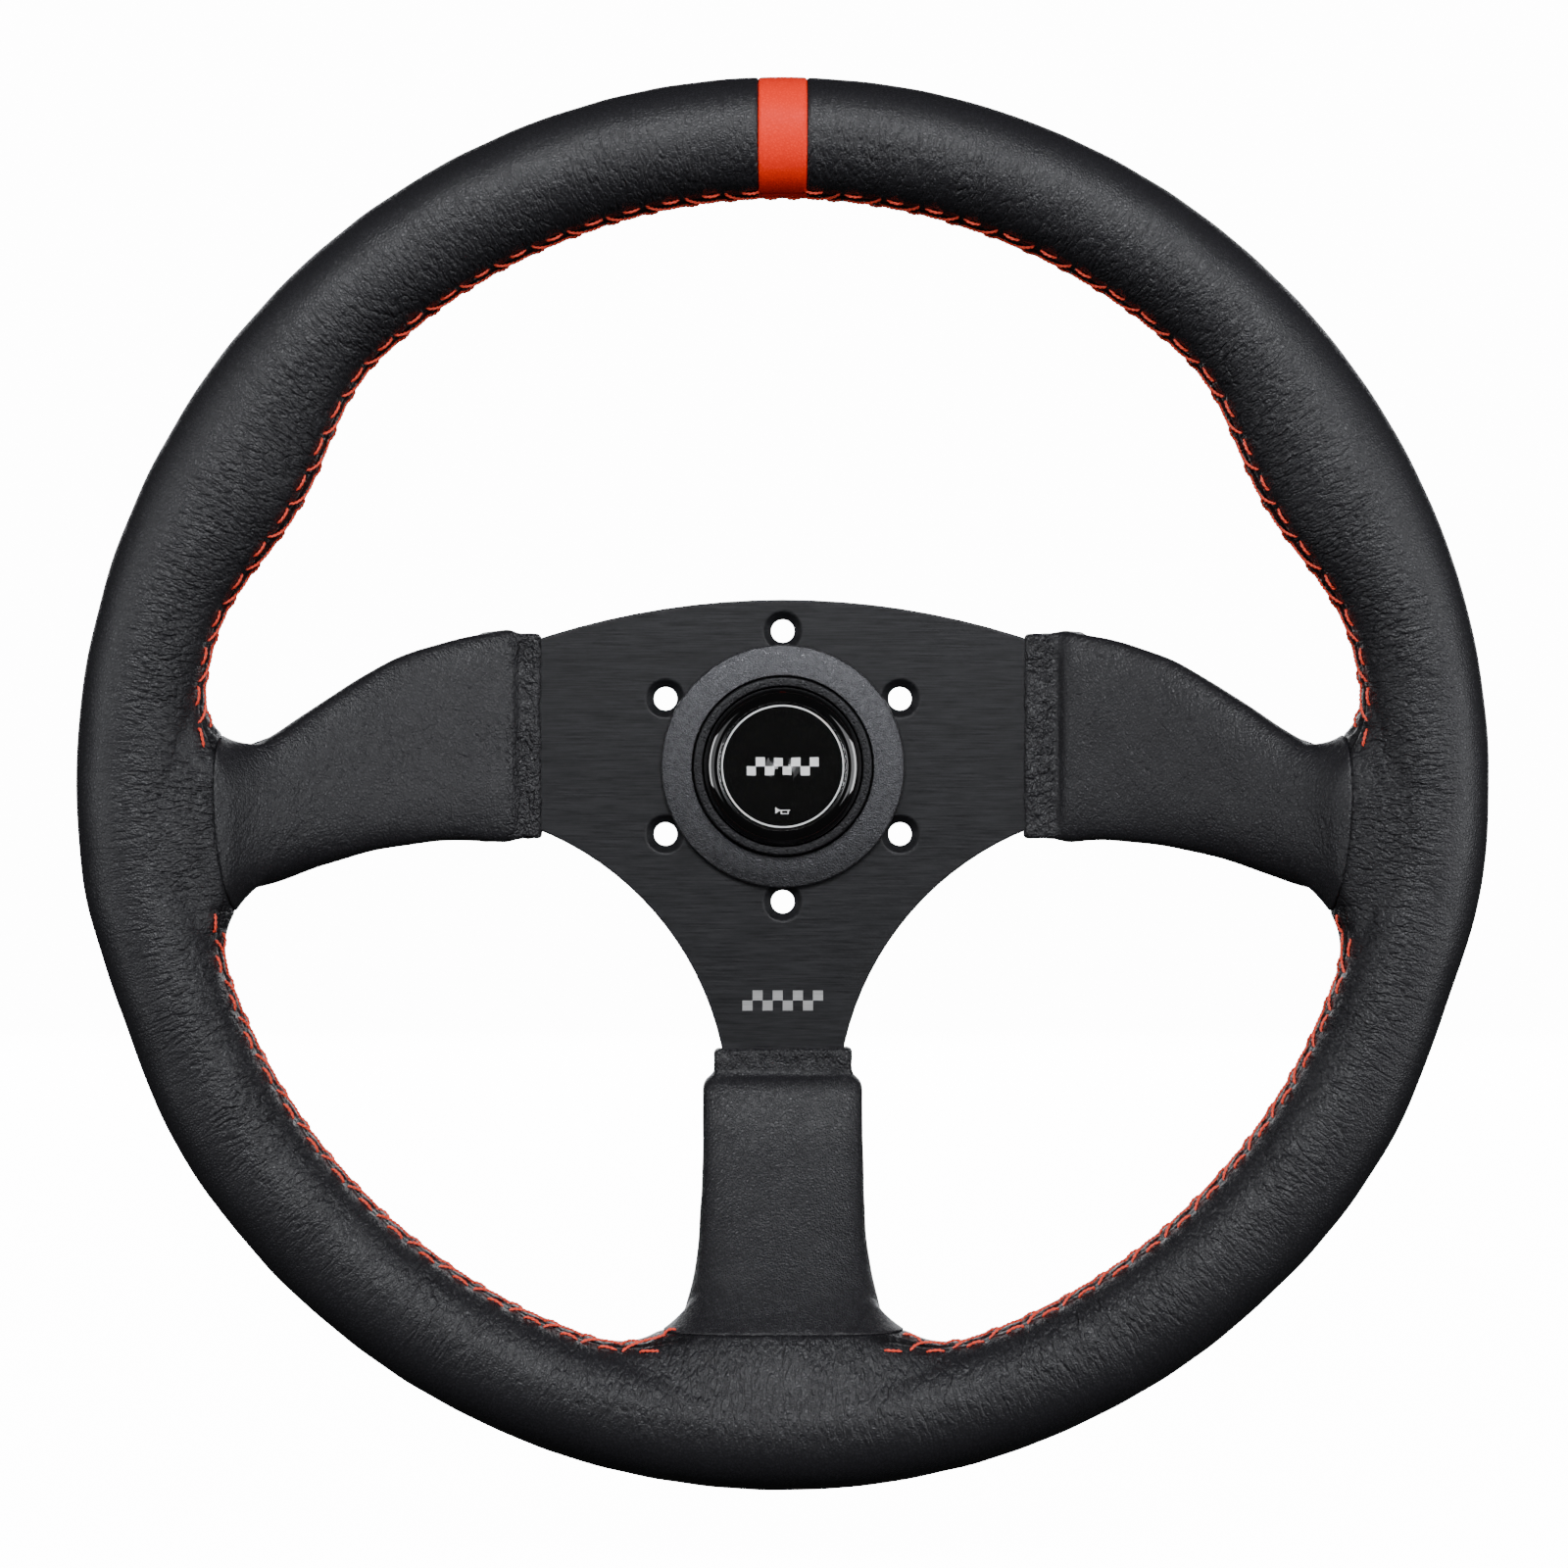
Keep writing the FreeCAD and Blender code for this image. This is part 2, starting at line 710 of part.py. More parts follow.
def rear_seam(prefix, stations, place):
    """Stitches along the middle of a pad's rear face, two between each pair of its stations."""
    gap = number("thread_radius") + number("stitch_gap")
    stitches = []
    rear = []
    for name in [station[0] for station in stations[:-2]]:
        reach = number(f"{prefix}_{name}_reach")
        depth = number(f"{prefix}_{name}_depth") / 2 - number(f"{prefix}_{name}_forward")
        rear.append((reach, depth + gap + number("stitch_gap")))
    for (near, near_depth), (far, far_depth) in zip(rear, rear[1:]):
        for first, last in ((0.1, 0.45), (0.55, 0.9)):
            start = place(near + (far - near) * first, near_depth + (far_depth - near_depth) * first)
            end = place(near + (far - near) * last, near_depth + (far_depth - near_depth) * last)
            stitches.append(stitch(start, end))
    return Part.makeCompound(stitches)


def make_sewing():
    upper, start, end = number("upper_seam_end"), number("lower_seam_start"), number("lower_seam_end")
    feature("upper_stitching", rim_seam(-upper, upper))
    feature("lower_right_stitching", rim_seam(start, end))
    feature("lower_left_stitching", rim_seam(-end, -start))
    side_middle = (number("side_neck_top") + number("side_neck_bottom")) / 2

    def side_line(reach, sign):
        """The height of the seam at a reach: level at first, then down to the rim."""
        neck, merge = number("side_neck_reach"), number("side_merge_reach")
        low = (number("side_merge_top") + number("side_merge_bottom")) / 2
        share = min(max((reach - neck) / (merge - neck), 0.0), 1.0)
        return sign * reach, side_middle + (low - side_middle) * share

    def on_side(sign):
        def place(reach, depth):
            across, up = side_line(reach, sign)
            return VECTOR(across, depth, up)

        return place

    feature("right_spoke_stitching", rear_seam("side", SIDE_PAD, on_side(1)))
    feature("left_spoke_stitching", rear_seam("side", SIDE_PAD, on_side(-1)))

    def on_lower(reach, depth):
        return VECTOR(0, depth, -reach)

    feature("lower_spoke_stitching", rear_seam("lower", LOWER_PAD, on_lower))


# ---- trim ring and nut ----


def make_trim_ring():
    """The ring round the horn button: a flange on the plate and a spigot through it with a rear shoulder."""
    plate = -dims.plate_gauge
    bevel = dims.trim_bevel
    turned(
        "trim_ring",
        [
            (dims.trim_bore, -dims.trim_front + bevel / 2),
            (dims.trim_bore + bevel / 2, -dims.trim_front),
            (dims.trim_radius - bevel, -dims.trim_front),
            (dims.trim_radius, -dims.trim_front + bevel),
            (dims.trim_radius, plate),
            (dims.spigot_radius, plate),
            (dims.spigot_radius, 0),
            (dims.shoulder_bore, 0),
            (dims.shoulder_bore, -dims.shoulder_gauge),
            (dims.trim_bore, -dims.shoulder_gauge),
        ],
    )


def make_trim_nut():
    """The ring nut in the plate's rear recess, with two notches for a pin spanner."""
    blank = turned(
        "nut_blank",
        [
            (dims.nut_bore, 0),
            (dims.nut_bore, -dims.nut_recess_depth),
            (dims.nut_radius, -dims.nut_recess_depth),
            (dims.nut_radius, 0),
        ],
    )
    notch_depth = dims.nut_recess_depth / 2
    notches = box("nut_notches", dims.nut_radius * 2, notch_depth, dims.nut_notch,
                  -dims.nut_radius, -notch_depth, -dims.nut_notch / 2)
    cut("trim_ring_nut", blank, notches)


# ---- horn button ----


def make_housing():
    """The button's bezel: a tube with a front lip and a groove outside for its seal."""
    bevel = dims.trim_bevel / 2
    cavity_front = -dims.housing_front + dims.lip_gauge
    groove_half = dims.seal_radius + dims.seal_play
    groove = dims.seal_groove - dims.seal_play
    turned(
        "button_housing",
        [
            (dims.lip_bore, cavity_front),
            (dims.lip_bore, -dims.housing_front + bevel),
            (dims.lip_bore + bevel, -dims.housing_front),
            (dims.housing_radius - bevel, -dims.housing_front),
            (dims.housing_radius, -dims.housing_front + bevel),
            (dims.housing_radius, -dims.seal_centre - groove_half),
            (groove, -dims.seal_centre - groove_half),
            (groove, -dims.seal_centre + groove_half),
            (dims.housing_radius, -dims.seal_centre + groove_half),
            (dims.housing_radius, -dims.shoulder_gauge),
            (dims.housing_cavity, -dims.shoulder_gauge),
            (dims.housing_cavity, cavity_front),
        ],
    )


def make_seal():
    """The O-ring that grips the housing in the trim ring's bore."""
    ring = doc.addObject("Part::Torus", "housing_o_ring")
    ring.setExpression("Radius1", (dims.seal_groove + dims.seal_radius).text)
    ring.setExpression("Radius2", dims.seal_radius.text)
    ring.Placement = FreeCAD.Placement(VECTOR(), FreeCAD.Rotation(VECTOR(1, 0, 0), -90))
    ring.setExpression("Placement.Base.y", (-dims.seal_centre).text)


def blade(label, place, front):
    """A flat push-on terminal that stands out of the base's rear."""
    return box(label, dims.blade_width, dims.blade_length + dims.base_rear - front, dims.blade_gauge,
               -dims.blade_width / 2, front, place - dims.blade_gauge / 2)


def make_base():
    """The insulating base in the housing's rear, with its two terminals."""
    live = blade("live_terminal", dims.live_place, -dims.base_front)
    earth = blade("ground_terminal", -dims.earth_place, -dims.base_front)
    blank = turned(
        "base_blank",
        [
            (0, -dims.base_front),
            (dims.base_radius, -dims.base_front),
            (dims.base_radius, -dims.shoulder_gauge),
            (dims.base_boss, -dims.shoulder_gauge),
            (dims.base_boss, dims.base_rear),
            (0, dims.base_rear),
        ],
    )
    slots = joined("MultiFuse", "blade_slots", [live, earth])
    cut("button_base", blank, slots)


def make_fixed_contacts():
    """The raised contact in the middle of the base and the flat one under the springs."""
    rear = -dims.base_front
    turned(
        "contact_ring",
        [
            (dims.contact_inner, rear),
            (dims.contact_inner, -dims.contact_front),
            (dims.contact_outer, -dims.contact_front),
            (dims.contact_outer, rear),
        ],
    )
    turned(
        "ground_ring",
        [
            (dims.earth_inner, rear),
            (dims.earth_inner, -dims.earth_front),
            (dims.earth_outer, -dims.earth_front),
            (dims.earth_outer, rear),
        ],
    )


def coil(radius, wire, height, turns):
    """A round wire wound along -Y from the origin."""
    count = round(turns * COIL_POINTS)
    points = []
    for i in range(count + 1):
        turn = 2 * math.pi * i / COIL_POINTS
        points.append(VECTOR(radius * math.cos(turn), -height * i / count, radius * math.sin(turn)))
    line = Part.BSplineCurve()
    line.interpolate(Points=points)
    ahead = VECTOR(0, -height / (2 * math.pi * turns), radius)
    section = Part.Wire([Part.makeCircle(wire, points[0], ahead)])
    return Part.Wire([line.toShape()]).makePipeShell([section], True, True)


def make_springs():
    """Three coil springs between the ground ring and the moving contact."""
    wire = number("spring_wire") / 2
    play = number("cap_play")
    seat = -number("earth_front") - wire - play
    reach = number("cap_ceiling") - number("moving_contact_gauge") - number("earth_front")
    one = coil(number("spring_radius"), wire, reach - 2 * wire - 2 * play, number("spring_turns"))
    place = number("spring_place")
    coils = []
    for i in range(3):
        turn = math.radians(120 * i + 90)
        spring = one.copy()
        spring.translate(VECTOR(place * math.cos(turn), seat, place * math.sin(turn)))
        coils.append(spring)
    feature("button_springs", Part.makeCompound(coils))


def make_cap():
    """The pushed part: a cap held behind the lip by its flange, with a raised rim round the emblem."""
    flange_front = -dims.housing_front + dims.lip_gauge + dims.cap_play
    flange_rear = flange_front + dims.cap_flange_gauge
    blank = turned(
        "cap_blank",
        [
            (0, -dims.cap_floor),
            (dims.cap_recess, -dims.cap_floor),
            (dims.cap_recess, -dims.cap_crown + dims.cap_lip),
            (dims.cap_recess + dims.cap_lip, -dims.cap_crown),
            (dims.cap_radius - dims.cap_chamfer, -dims.cap_crown),
            (dims.cap_radius, -dims.cap_shoulder),
            (dims.cap_radius, flange_front),
            (dims.cap_flange, flange_front),
            (dims.cap_flange, flange_rear),
            (dims.cap_bore, flange_rear),
            (dims.cap_bore, -dims.cap_ceiling),
            (0, -dims.cap_ceiling),
        ],
    )
    hole = rod("screw_hole", dims.screw_shank, dims.screw_depth, -dims.cap_ceiling - dims.screw_depth)
    cut("button_cap", blank, hole)


def make_emblem():
    """The printed disc in the cap's recess, and the clear dome cast over it."""
    disc_front = -dims.cap_floor - dims.disc_gauge
    turned(
        "emblem_disc",
        [
            (0, disc_front),
            (dims.disc_radius, disc_front),
            (dims.disc_radius, -dims.cap_floor),
            (0, -dims.cap_floor),
        ],
    )
    rise = dims.lens_rise - dims.lens_edge
    dome = (dims.disc_radius * dims.disc_radius + rise * rise) / (rise * 2)
    turned(
        "emblem_lens",
        [
            (0, disc_front - dims.lens_rise, dome, True),
            (dims.disc_radius, disc_front - dims.lens_edge),
            (dims.disc_radius, disc_front),
            (0, disc_front),
        ],
    )


def make_moving_contact():
    """The brass disc under the cap and the screw that holds it."""
    front = -dims.cap_ceiling
    rear = front + dims.moving_contact_gauge
    turned(
        "contact_plate",
        [
            (dims.screw_shank, front),
            (dims.moving_contact_radius, front),
            (dims.moving_contact_radius, rear),
            (dims.screw_shank, rear),
        ],
    )
    turned(
        "contact_screw",
        [
            (0, front - dims.screw_depth),
            (dims.screw_shank, front - dims.screw_depth),
            (dims.screw_shank, rear),
            (dims.screw_head, rear),
            (dims.screw_head, rear + dims.screw_head_gauge),
            (0, rear + dims.screw_head_gauge),
        ],
    )


# ---- the whole wheel ----

NODES = [
    "spoke_frame",
    "rim_core_ring",
    "spoke_rivets",
    "grip_foam",
    "rim_leather",
    "centre_band",
    "left_spoke_leather",
    "right_spoke_leather",
    "lower_spoke_leather",
    "upper_stitching",
    "lower_left_stitching",
    "lower_right_stitching",
    "left_spoke_stitching",
    "right_spoke_stitching",
    "lower_spoke_stitching",
    "trim_ring",
    "trim_ring_nut",
    "button_housing",
    "housing_o_ring",
    "button_base",
    "contact_ring",
    "ground_ring",
    "ground_terminal",
    "live_terminal",
    "button_springs",
    "button_cap",
    "emblem_disc",
    "emblem_lens",
    "contact_plate",
    "contact_screw",
]


def recompute_all():
    """Recomputes the document and stops at any object that failed."""
    doc.recompute()
    for item in doc.Objects:
        if {"Invalid", "Error"} & set(item.State):
            raise RuntimeError(f"{item.Label} failed: {item.State}")


def write_steps():
    os.makedirs("parts", exist_ok=True)
    pieces = {label: doc.getObjectsByLabel(label)[0] for label in NODES}
    for label, piece in pieces.items():
        if piece.Shape.isNull() or not piece.Shape.isValid() or not piece.Shape.Solids:
            raise RuntimeError(f"{label} has no sound shape")
        print(f"{label:24s} {len(piece.Shape.Solids):3d} solids {piece.Shape.Volume:12.1f} mm3")
    for label, piece in pieces.items():
        piece.Shape.exportStep(f"parts/{label}.step")


rivets = make_rivets()
frame = make_frame(rivets)
ring = make_core_ring(rivets)
make_trim_ring()
make_trim_nut()
make_housing()
make_seal()
make_base()
make_fixed_contacts()
make_cap()
make_emblem()
make_moving_contact()
recompute_all()
make_grip(frame, ring, rivets)
make_sewing()
make_springs()
recompute_all()
write_steps()
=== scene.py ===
import json
import math

import bpy
import numpy as np
import openvdb
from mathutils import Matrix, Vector

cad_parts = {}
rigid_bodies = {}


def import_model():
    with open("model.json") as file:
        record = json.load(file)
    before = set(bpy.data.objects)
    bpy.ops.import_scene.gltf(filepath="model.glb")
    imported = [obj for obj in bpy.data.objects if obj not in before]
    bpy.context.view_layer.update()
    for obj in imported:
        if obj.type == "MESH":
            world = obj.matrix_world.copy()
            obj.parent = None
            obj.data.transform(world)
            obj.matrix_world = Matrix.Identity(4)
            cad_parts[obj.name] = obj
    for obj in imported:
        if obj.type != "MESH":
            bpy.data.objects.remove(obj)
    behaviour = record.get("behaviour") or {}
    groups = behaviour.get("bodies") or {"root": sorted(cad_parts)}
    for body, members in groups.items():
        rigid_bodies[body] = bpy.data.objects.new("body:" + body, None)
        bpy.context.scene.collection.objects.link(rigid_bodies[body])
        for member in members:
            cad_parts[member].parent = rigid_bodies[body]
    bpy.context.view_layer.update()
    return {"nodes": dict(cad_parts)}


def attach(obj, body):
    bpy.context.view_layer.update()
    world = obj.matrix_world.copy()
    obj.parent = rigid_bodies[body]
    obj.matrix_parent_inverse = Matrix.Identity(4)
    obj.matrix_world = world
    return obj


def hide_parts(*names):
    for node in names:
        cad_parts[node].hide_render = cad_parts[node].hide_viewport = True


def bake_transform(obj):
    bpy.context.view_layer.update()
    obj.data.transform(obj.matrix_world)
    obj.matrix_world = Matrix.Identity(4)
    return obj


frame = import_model()

MM = 0.001

# ---- the wheel's own sizes, in millimetres and degrees; the hub's bolt circle is the origin ----

RIM_OUTER = 175.0
RIM_INNER = 145.4
RIM_DEPTH = 32.0
RIM_REACH = 44.0  # its middle is this far in front of the plate's rear face
RIM_DROP = 4.25  # and its centre this far below the hub's
RIM_ROUNDNESS = 2.2
SECTION = 15.4  # the mean half thickness, for lengths round the section
THUMB_BULGE, THUMB_ANGLE, THUMB_SPAN = 7.3, 60.0, 17.0
PALM_DENT, PALM_ANGLE, PALM_SPAN = 1.7, 109.5, 13.0
BAND_HALF = 6.0
SKIN = 1.3
FILLET, SHARP_FILLET = 21.0, 7.0  # where pads and rim join: in the rim's plane, and on its faces
SPOKE_SEAM, LOWER_SEAM = 140.3, 136.3
CLEAR_SEAM = 125.0  # a seam radius that lies nowhere on the rim
LAP, EDGE = 0.1, 0.8  # how far leathers pass their shared seam, and the rounding there
RIGHT_ROOT, LEFT_ROOT, LOWER_ROOT = 71.0, 68.2, 79.5

# each row of a side pad: reach, top, bottom, depth, forward, roundness
SIDE_PAD = np.array([
    (71.0, 35.3, -19.6, 11.6, 2.4, 4.5),
    (85.0, 32.4, -19.1, 13.5, 7.5, 3.8),
    (100.0, 26.9, -20.8, 16.5, 14.5, 3.2),
    (115.0, 17.5, -24.6, 20.5, 22.0, 2.8),
    (130.0, 7.0, -30.0, 24.5, 30.5, 2.5),
    (146.0, 1.0, -33.0, 26.0, 40.5, 2.4),
    (158.0, -1.0, -33.0, 22.0, 44.0, 2.2),
])
# each row of the lower pad: reach, half width, depth, forward, roundness
LOWER_PAD = np.array([
    (79.5, 20.6, 11.6, 2.4, 4.5),
    (95.0, 20.6, 13.5, 8.5, 3.8),
    (110.0, 20.8, 17.0, 16.5, 3.2),
    (124.0, 21.8, 21.0, 25.0, 2.8),
    (136.0, 24.5, 24.5, 33.0, 2.5),
    (148.0, 29.0, 26.0, 41.0, 2.4),
    (161.0, 29.0, 22.0, 44.0, 2.2),
])

SEAM_TURN = 12.0  # how far the sewn seam lies forward of the rim's innermost line
SEAM_ROW = 2.6  # from the seam to each row of holes
PITCH = 10.1
UPPER_END = 86.3
LOWER_START, LOWER_END = 103.0, 169.7
# a crossing strand's place across the seam at shares of its length
CROSS_AT, CROSS_ROW = (0.0, 0.12, 0.3, 0.5, 0.8, 1.0), (2.8, 1.4, 0.1, -0.7, -1.7, -3.0)


# ---- smooth solid fields: below zero inside, distances in millimetres ----


def smooth_max(a, b, blend):
    share = np.maximum(blend - np.abs(a - b), 0.0) / blend
    return np.maximum(a, b) + share * share * blend / 4


def smooth_min(a, b, blend):
    return -smooth_max(-a, -b, blend)


def ease(value, low, high):
    share = np.clip((value - low) / (high - low), 0.0, 1.0)
    return share * share * (3 - 2 * share)


def curve_through(at, knots, values):
    """A smooth curve through the values at the knots, level beyond both ends."""
    slopes = np.gradient(values, knots)
    at = np.clip(at, knots[0], knots[-1])
    i = np.clip(np.searchsorted(knots, at) - 1, 0, len(knots) - 2)
    width = knots[i + 1] - knots[i]
    t = (at - knots[i]) / width
    rise = values[i + 1] - values[i]
    left, right = slopes[i] * width - rise, rise - slopes[i + 1] * width
    return values[i] + t * rise + t * (1 - t) * (left * (1 - t) + right * t)


def oval(across, depth, half_across, half_depth, roundness):
    """The distance from a rounded oval."""
    a, b = np.abs(across) / half_across, np.abs(depth) / half_depth
    size = np.maximum((a**roundness + b**roundness) ** (1 / roundness), 0.05)
    power = roundness - 1
    slope = np.hypot((a / size) ** power / half_across, (b / size) ** power / half_depth)
    return (size - 1) / np.maximum(slope, 1e-3)


def swell(angle, centre, half_span):
    off = np.clip(np.abs(angle - centre) / half_span, 0.0, 1.0)
    return np.cos(off * math.pi / 2) ** 2


def polar(x, z):
    """Radius and signed angle from the top, about the rim's centre."""
    return np.hypot(x, z + RIM_DROP), np.degrees(np.arctan2(x, z + RIM_DROP))


def rim_span(angle):
    inner = RIM_INNER - THUMB_BULGE * swell(np.abs(angle), THUMB_ANGLE, THUMB_SPAN)
    outer = RIM_OUTER - PALM_DENT * swell(np.abs(angle), PALM_ANGLE, PALM_SPAN)
    return inner, outer


def bare_rim(x, y, z):
    radius, angle = polar(x, z)
    inner, outer = rim_span(angle)
    middle, half = (outer + inner) / 2, (outer - inner) / 2
    return oval(radius - middle, y + RIM_REACH, half, RIM_DEPTH / 2, RIM_ROUNDNESS)


def ripple(x, y, z, wave, seed):
    """Gentle seeded unevenness between -1 and 1 with about the given wave length."""
    rng = np.random.default_rng(seed)
    total = np.zeros_like(x)
    for _ in range(7):
        way = rng.normal(size=3)
        way *= 2 * math.pi / (np.linalg.norm(way) * wave * rng.uniform(0.7, 1.4))
        total += np.sin(way[0] * x + way[1] * y + way[2] * z + rng.uniform(0, 6.3))
    return total / 4


def rounded_box(x, y, z, centre, half, radius):
    q = [np.abs(p - c) - (h - radius) for p, c, h in zip((x, y, z), centre, half)]
    outside = np.sqrt(sum(np.maximum(v, 0.0) ** 2 for v in q))
    return outside + np.minimum(np.maximum(np.maximum(q[0], q[1]), q[2]), 0.0) - radius


def side_pad(x, y, z):
    reach = np.abs(x)
    reaches, *columns = SIDE_PAD.T
    top, bottom, depth, forward, power = (curve_through(reach, reaches, c) for c in columns)
    body = oval(z - (top + bottom) / 2, y + forward, (top - bottom) / 2, depth / 2, power)
    body = smooth_max(body, np.where(x > 0, RIGHT_ROOT, LEFT_ROOT) - reach, 4.0)
    return np.maximum(body, reach - reaches[-1])


def lower_pad(x, y, z):
    reaches, *columns = LOWER_PAD.T
    half, depth, forward, power = (curve_through(-z, reaches, c) for c in columns)
    body = oval(x, y + forward, half, depth / 2, power)
    body = smooth_max(body, LOWER_ROOT + z, 4.5)
    return np.maximum(body, -z - reaches[-1])


def side_cuff(x, y, z):
    """The flat, gathered end of a side leather on the plate."""
    folds = ripple(x * 0.5, y, z, 2.4, 3) * 0.14 + np.abs(ripple(x * 0.6, y, z, 3.2, 4)) * 0.28
    edge = ripple(z, z * 0, z * 0, 11.0, 5) * 0.15
    return rounded_box(np.abs(x) - edge, y, z, (70.0, -2.0, 7.8), (7.7, 3.3, 26.5), 1.2) + folds


def lower_cuff(x, y, z):
    """The flat, gathered end of the lower leather on the plate."""
    folds = ripple(x, y, z * 0.5, 2.4, 6) * 0.15 + np.abs(ripple(x, y, z * 0.6, 3.2, 7)) * 0.3
    edge = ripple(x, x * 0, x * 0, 9.0, 8) * 0.2
    return rounded_box(x, y, z - edge, (0.0, -2.0, -79.5), (17.8, 3.3, 6.8), 1.2) + folds


def fillet(x, y, z):
    """How widely a pad and the rim run into each other: not at all beyond the rim's middle."""
    radius, _ = polar(x, z)
    level = 1 - ease(np.abs(y + RIM_REACH), 5.0, 14.0)
    width = SHARP_FILLET + (FILLET - SHARP_FILLET) * level
    return width * (1 - ease(radius, 146.0, 163.0)) + 0.5


def covered(x, y, z):
    """The whole padded shape: rim and three pads."""
    blend = fillet(x, y, z)
    shape = smooth_min(bare_rim(x, y, z), side_pad(x, y, z), blend)
    return smooth_min(shape, lower_pad(x, y, z), blend)


def with_cuffs(x, y, z):
    shape = smooth_min(covered(x, y, z), side_cuff(x, y, z), 1.5)
    return smooth_min(shape, lower_cuff(x, y, z), 1.5)


def seam_radius(angle):
    """Where the spoke leathers end and the rim's begins; well clear of the rim elsewhere."""
    off = np.abs(angle)
    beside = ease(off, 71.0, 76.0) * (1 - ease(off, 120.0, 126.0))
    below = ease(off, 158.0, 163.0)
    straight = LOWER_SEAM / np.cos(np.radians(np.minimum(180.0 - off, 30.0)))
    return CLEAR_SEAM + (SPOKE_SEAM - CLEAR_SEAM) * beside + (straight - CLEAR_SEAM) * below


def seam_place(x, y, z):
    """Millimetres along the sewn seam from the top, and forward of it round the section."""
    radius, angle = polar(x, z)
    inner, outer = rim_span(angle)
    turn = np.degrees(np.arctan2(-(y + RIM_REACH), (outer + inner) / 2 - radius))
    return np.radians(angle) * RIM_INNER, np.radians(turn - SEAM_TURN) * SECTION


def sewn(angle):
    """1 where the rim's inner seam is sewn and 0 elsewhere."""
    off = np.abs(angle)
    lower = ease(off, LOWER_START - 2, LOWER_START) * (1 - ease(off, LOWER_END, LOWER_END + 2))
    return np.maximum(1 - ease(off, UPPER_END, UPPER_END + 2), lower)


def rim_panel(x, y, z):
    """The rim's black leather, sunk along its seam and drawn in at each stitch."""
    radius, angle = polar(x, z)
    along, across = seam_place(x, y, z)
    fold = 0.7 * np.exp(-((across / 1.0) ** 2))
    near = 0.28 * np.exp(-(((np.abs(across) - SEAM_ROW) / 1.2) ** 2))
    pucker = near * (1 - 0.7 * np.cos(along * 4 * math.pi / PITCH))
    shape = covered(x, y, z) + 0.12 * ripple(x, y, z, 16.0, 1) + (fold + pucker) * sewn(angle)
    shape = smooth_max(shape, seam_radius(angle) - radius - LAP, EDGE)
    return smooth_max(shape, BAND_HALF - np.abs(np.radians(angle)) * radius - LAP, 1.0)


def band_panel(x, y, z):
    radius, angle = polar(x, z)
    _, across = seam_place(x, y, z)
    shape = bare_rim(x, y, z) + 0.4 * np.exp(-((across / 1.0) ** 2))
    return smooth_max(shape, np.abs(np.radians(angle)) * radius - BAND_HALF - LAP, 1.0)


def spoke_panel(x, y, z):
    radius, angle = polar(x, z)
    shape = with_cuffs(x, y, z) + 0.12 * ripple(x, y, z, 14.0, 2)
    return smooth_max(shape, radius - seam_radius(angle) - LAP, EDGE)


def padding(x, y, z):
    """The foam under the leathers."""
    return covered(x, y, z) + SKIN + 0.6


# ---- meshes from fields ----


def slopes_of(field, points, step=0.04):
    """The field and its gradient at the points."""
    x, y, z = points.T
    slope = np.stack([
        field(x + step, y, z) - field(x - step, y, z),
        field(x, y + step, z) - field(x, y - step, z),
        field(x, y, z + step) - field(x, y, z - step),
    ], axis=1) / (2 * step)
    return field(x, y, z), slope


def settle(field, points, lift=0.0, rounds=3):
    """Moves points onto the field's surface, or to a height above it."""
    for _ in range(rounds):
        value, slope = slopes_of(field, points)
        size = np.maximum((slope * slope).sum(axis=1), 0.25)
        push = np.clip((value - lift) / size, -0.8, 0.8)
        points = points - slope * push[:, None]
    return points


def field_grid(field, low, high, voxel):
    """The field sampled near its surface on a grid, and plain inside or outside elsewhere."""
    block = 4
    counts = np.ceil((np.array(high) - low) / (voxel * block)).astype(int)
    centres = [low[i] + (np.arange(counts[i]) + 0.5) * voxel * block - voxel / 2 for i in range(3)]
    coarse = field(*(c.ravel() for c in np.meshgrid(*centres, indexing="ij"))).reshape(counts)
    far = 3.0 * voxel
    values = np.where(coarse > 0, far, -far).astype(np.float32)
    for axis in range(3):
        values = np.repeat(values, block, axis=axis)
    near = np.argwhere(np.abs(coarse) < voxel * block * 1.5 + 1.0)
    inside = np.stack(np.meshgrid(*[np.arange(block)] * 3, indexing="ij"), axis=-1)
    cells = (near[:, None, :] * block + inside.reshape(1, -1, 3)).reshape(-1, 3)
    x, y, z = (cells * voxel + np.array(low)).T
    values[tuple(cells.T)] = np.clip(field(x, y, z), -far, far)
    return values, far


def field_mesh(name, field, low, high, voxel):
    """A closed quad mesh round where the field is below zero, its points on the surface."""
    values, far = field_grid(field, low, high, voxel)
    grid = openvdb.FloatGrid(far)
    grid.copyFromArray(values)
    grid.gridClass = openvdb.GridClass.LEVEL_SET
    points, quads = grid.convertToQuads(isovalue=0.0)
    points = settle(field, points.astype(float) * voxel + np.array(low), rounds=2)
    return mesh_object(name, points, quads[:, ::-1])


def mesh_object(name, points, quads):
    """An object from points in millimetres and four-sided faces."""
    mesh = bpy.data.meshes.new(name)
    mesh.vertices.add(len(points))
    mesh.vertices.foreach_set("co", (np.asarray(points) * MM).astype(np.float32).ravel())
    mesh.loops.add(quads.size)
    mesh.loops.foreach_set("vertex_index", np.ascontiguousarray(quads, dtype=np.int32).ravel())
    mesh.polygons.add(len(quads))
    mesh.polygons.foreach_set("loop_start", np.arange(0, quads.size, 4, dtype=np.int32))
    mesh.update(calc_edges=True)
    mesh.validate()
    mesh.shade_smooth()
    made = bpy.data.objects.new(name, mesh)
    bpy.context.scene.collection.objects.link(made)
    return made


def keep_value(piece, name, values):
    layer = piece.data.attributes.new(name, "FLOAT", "POINT")
    layer.data.foreach_set("value", np.asarray(values, dtype=np.float32))


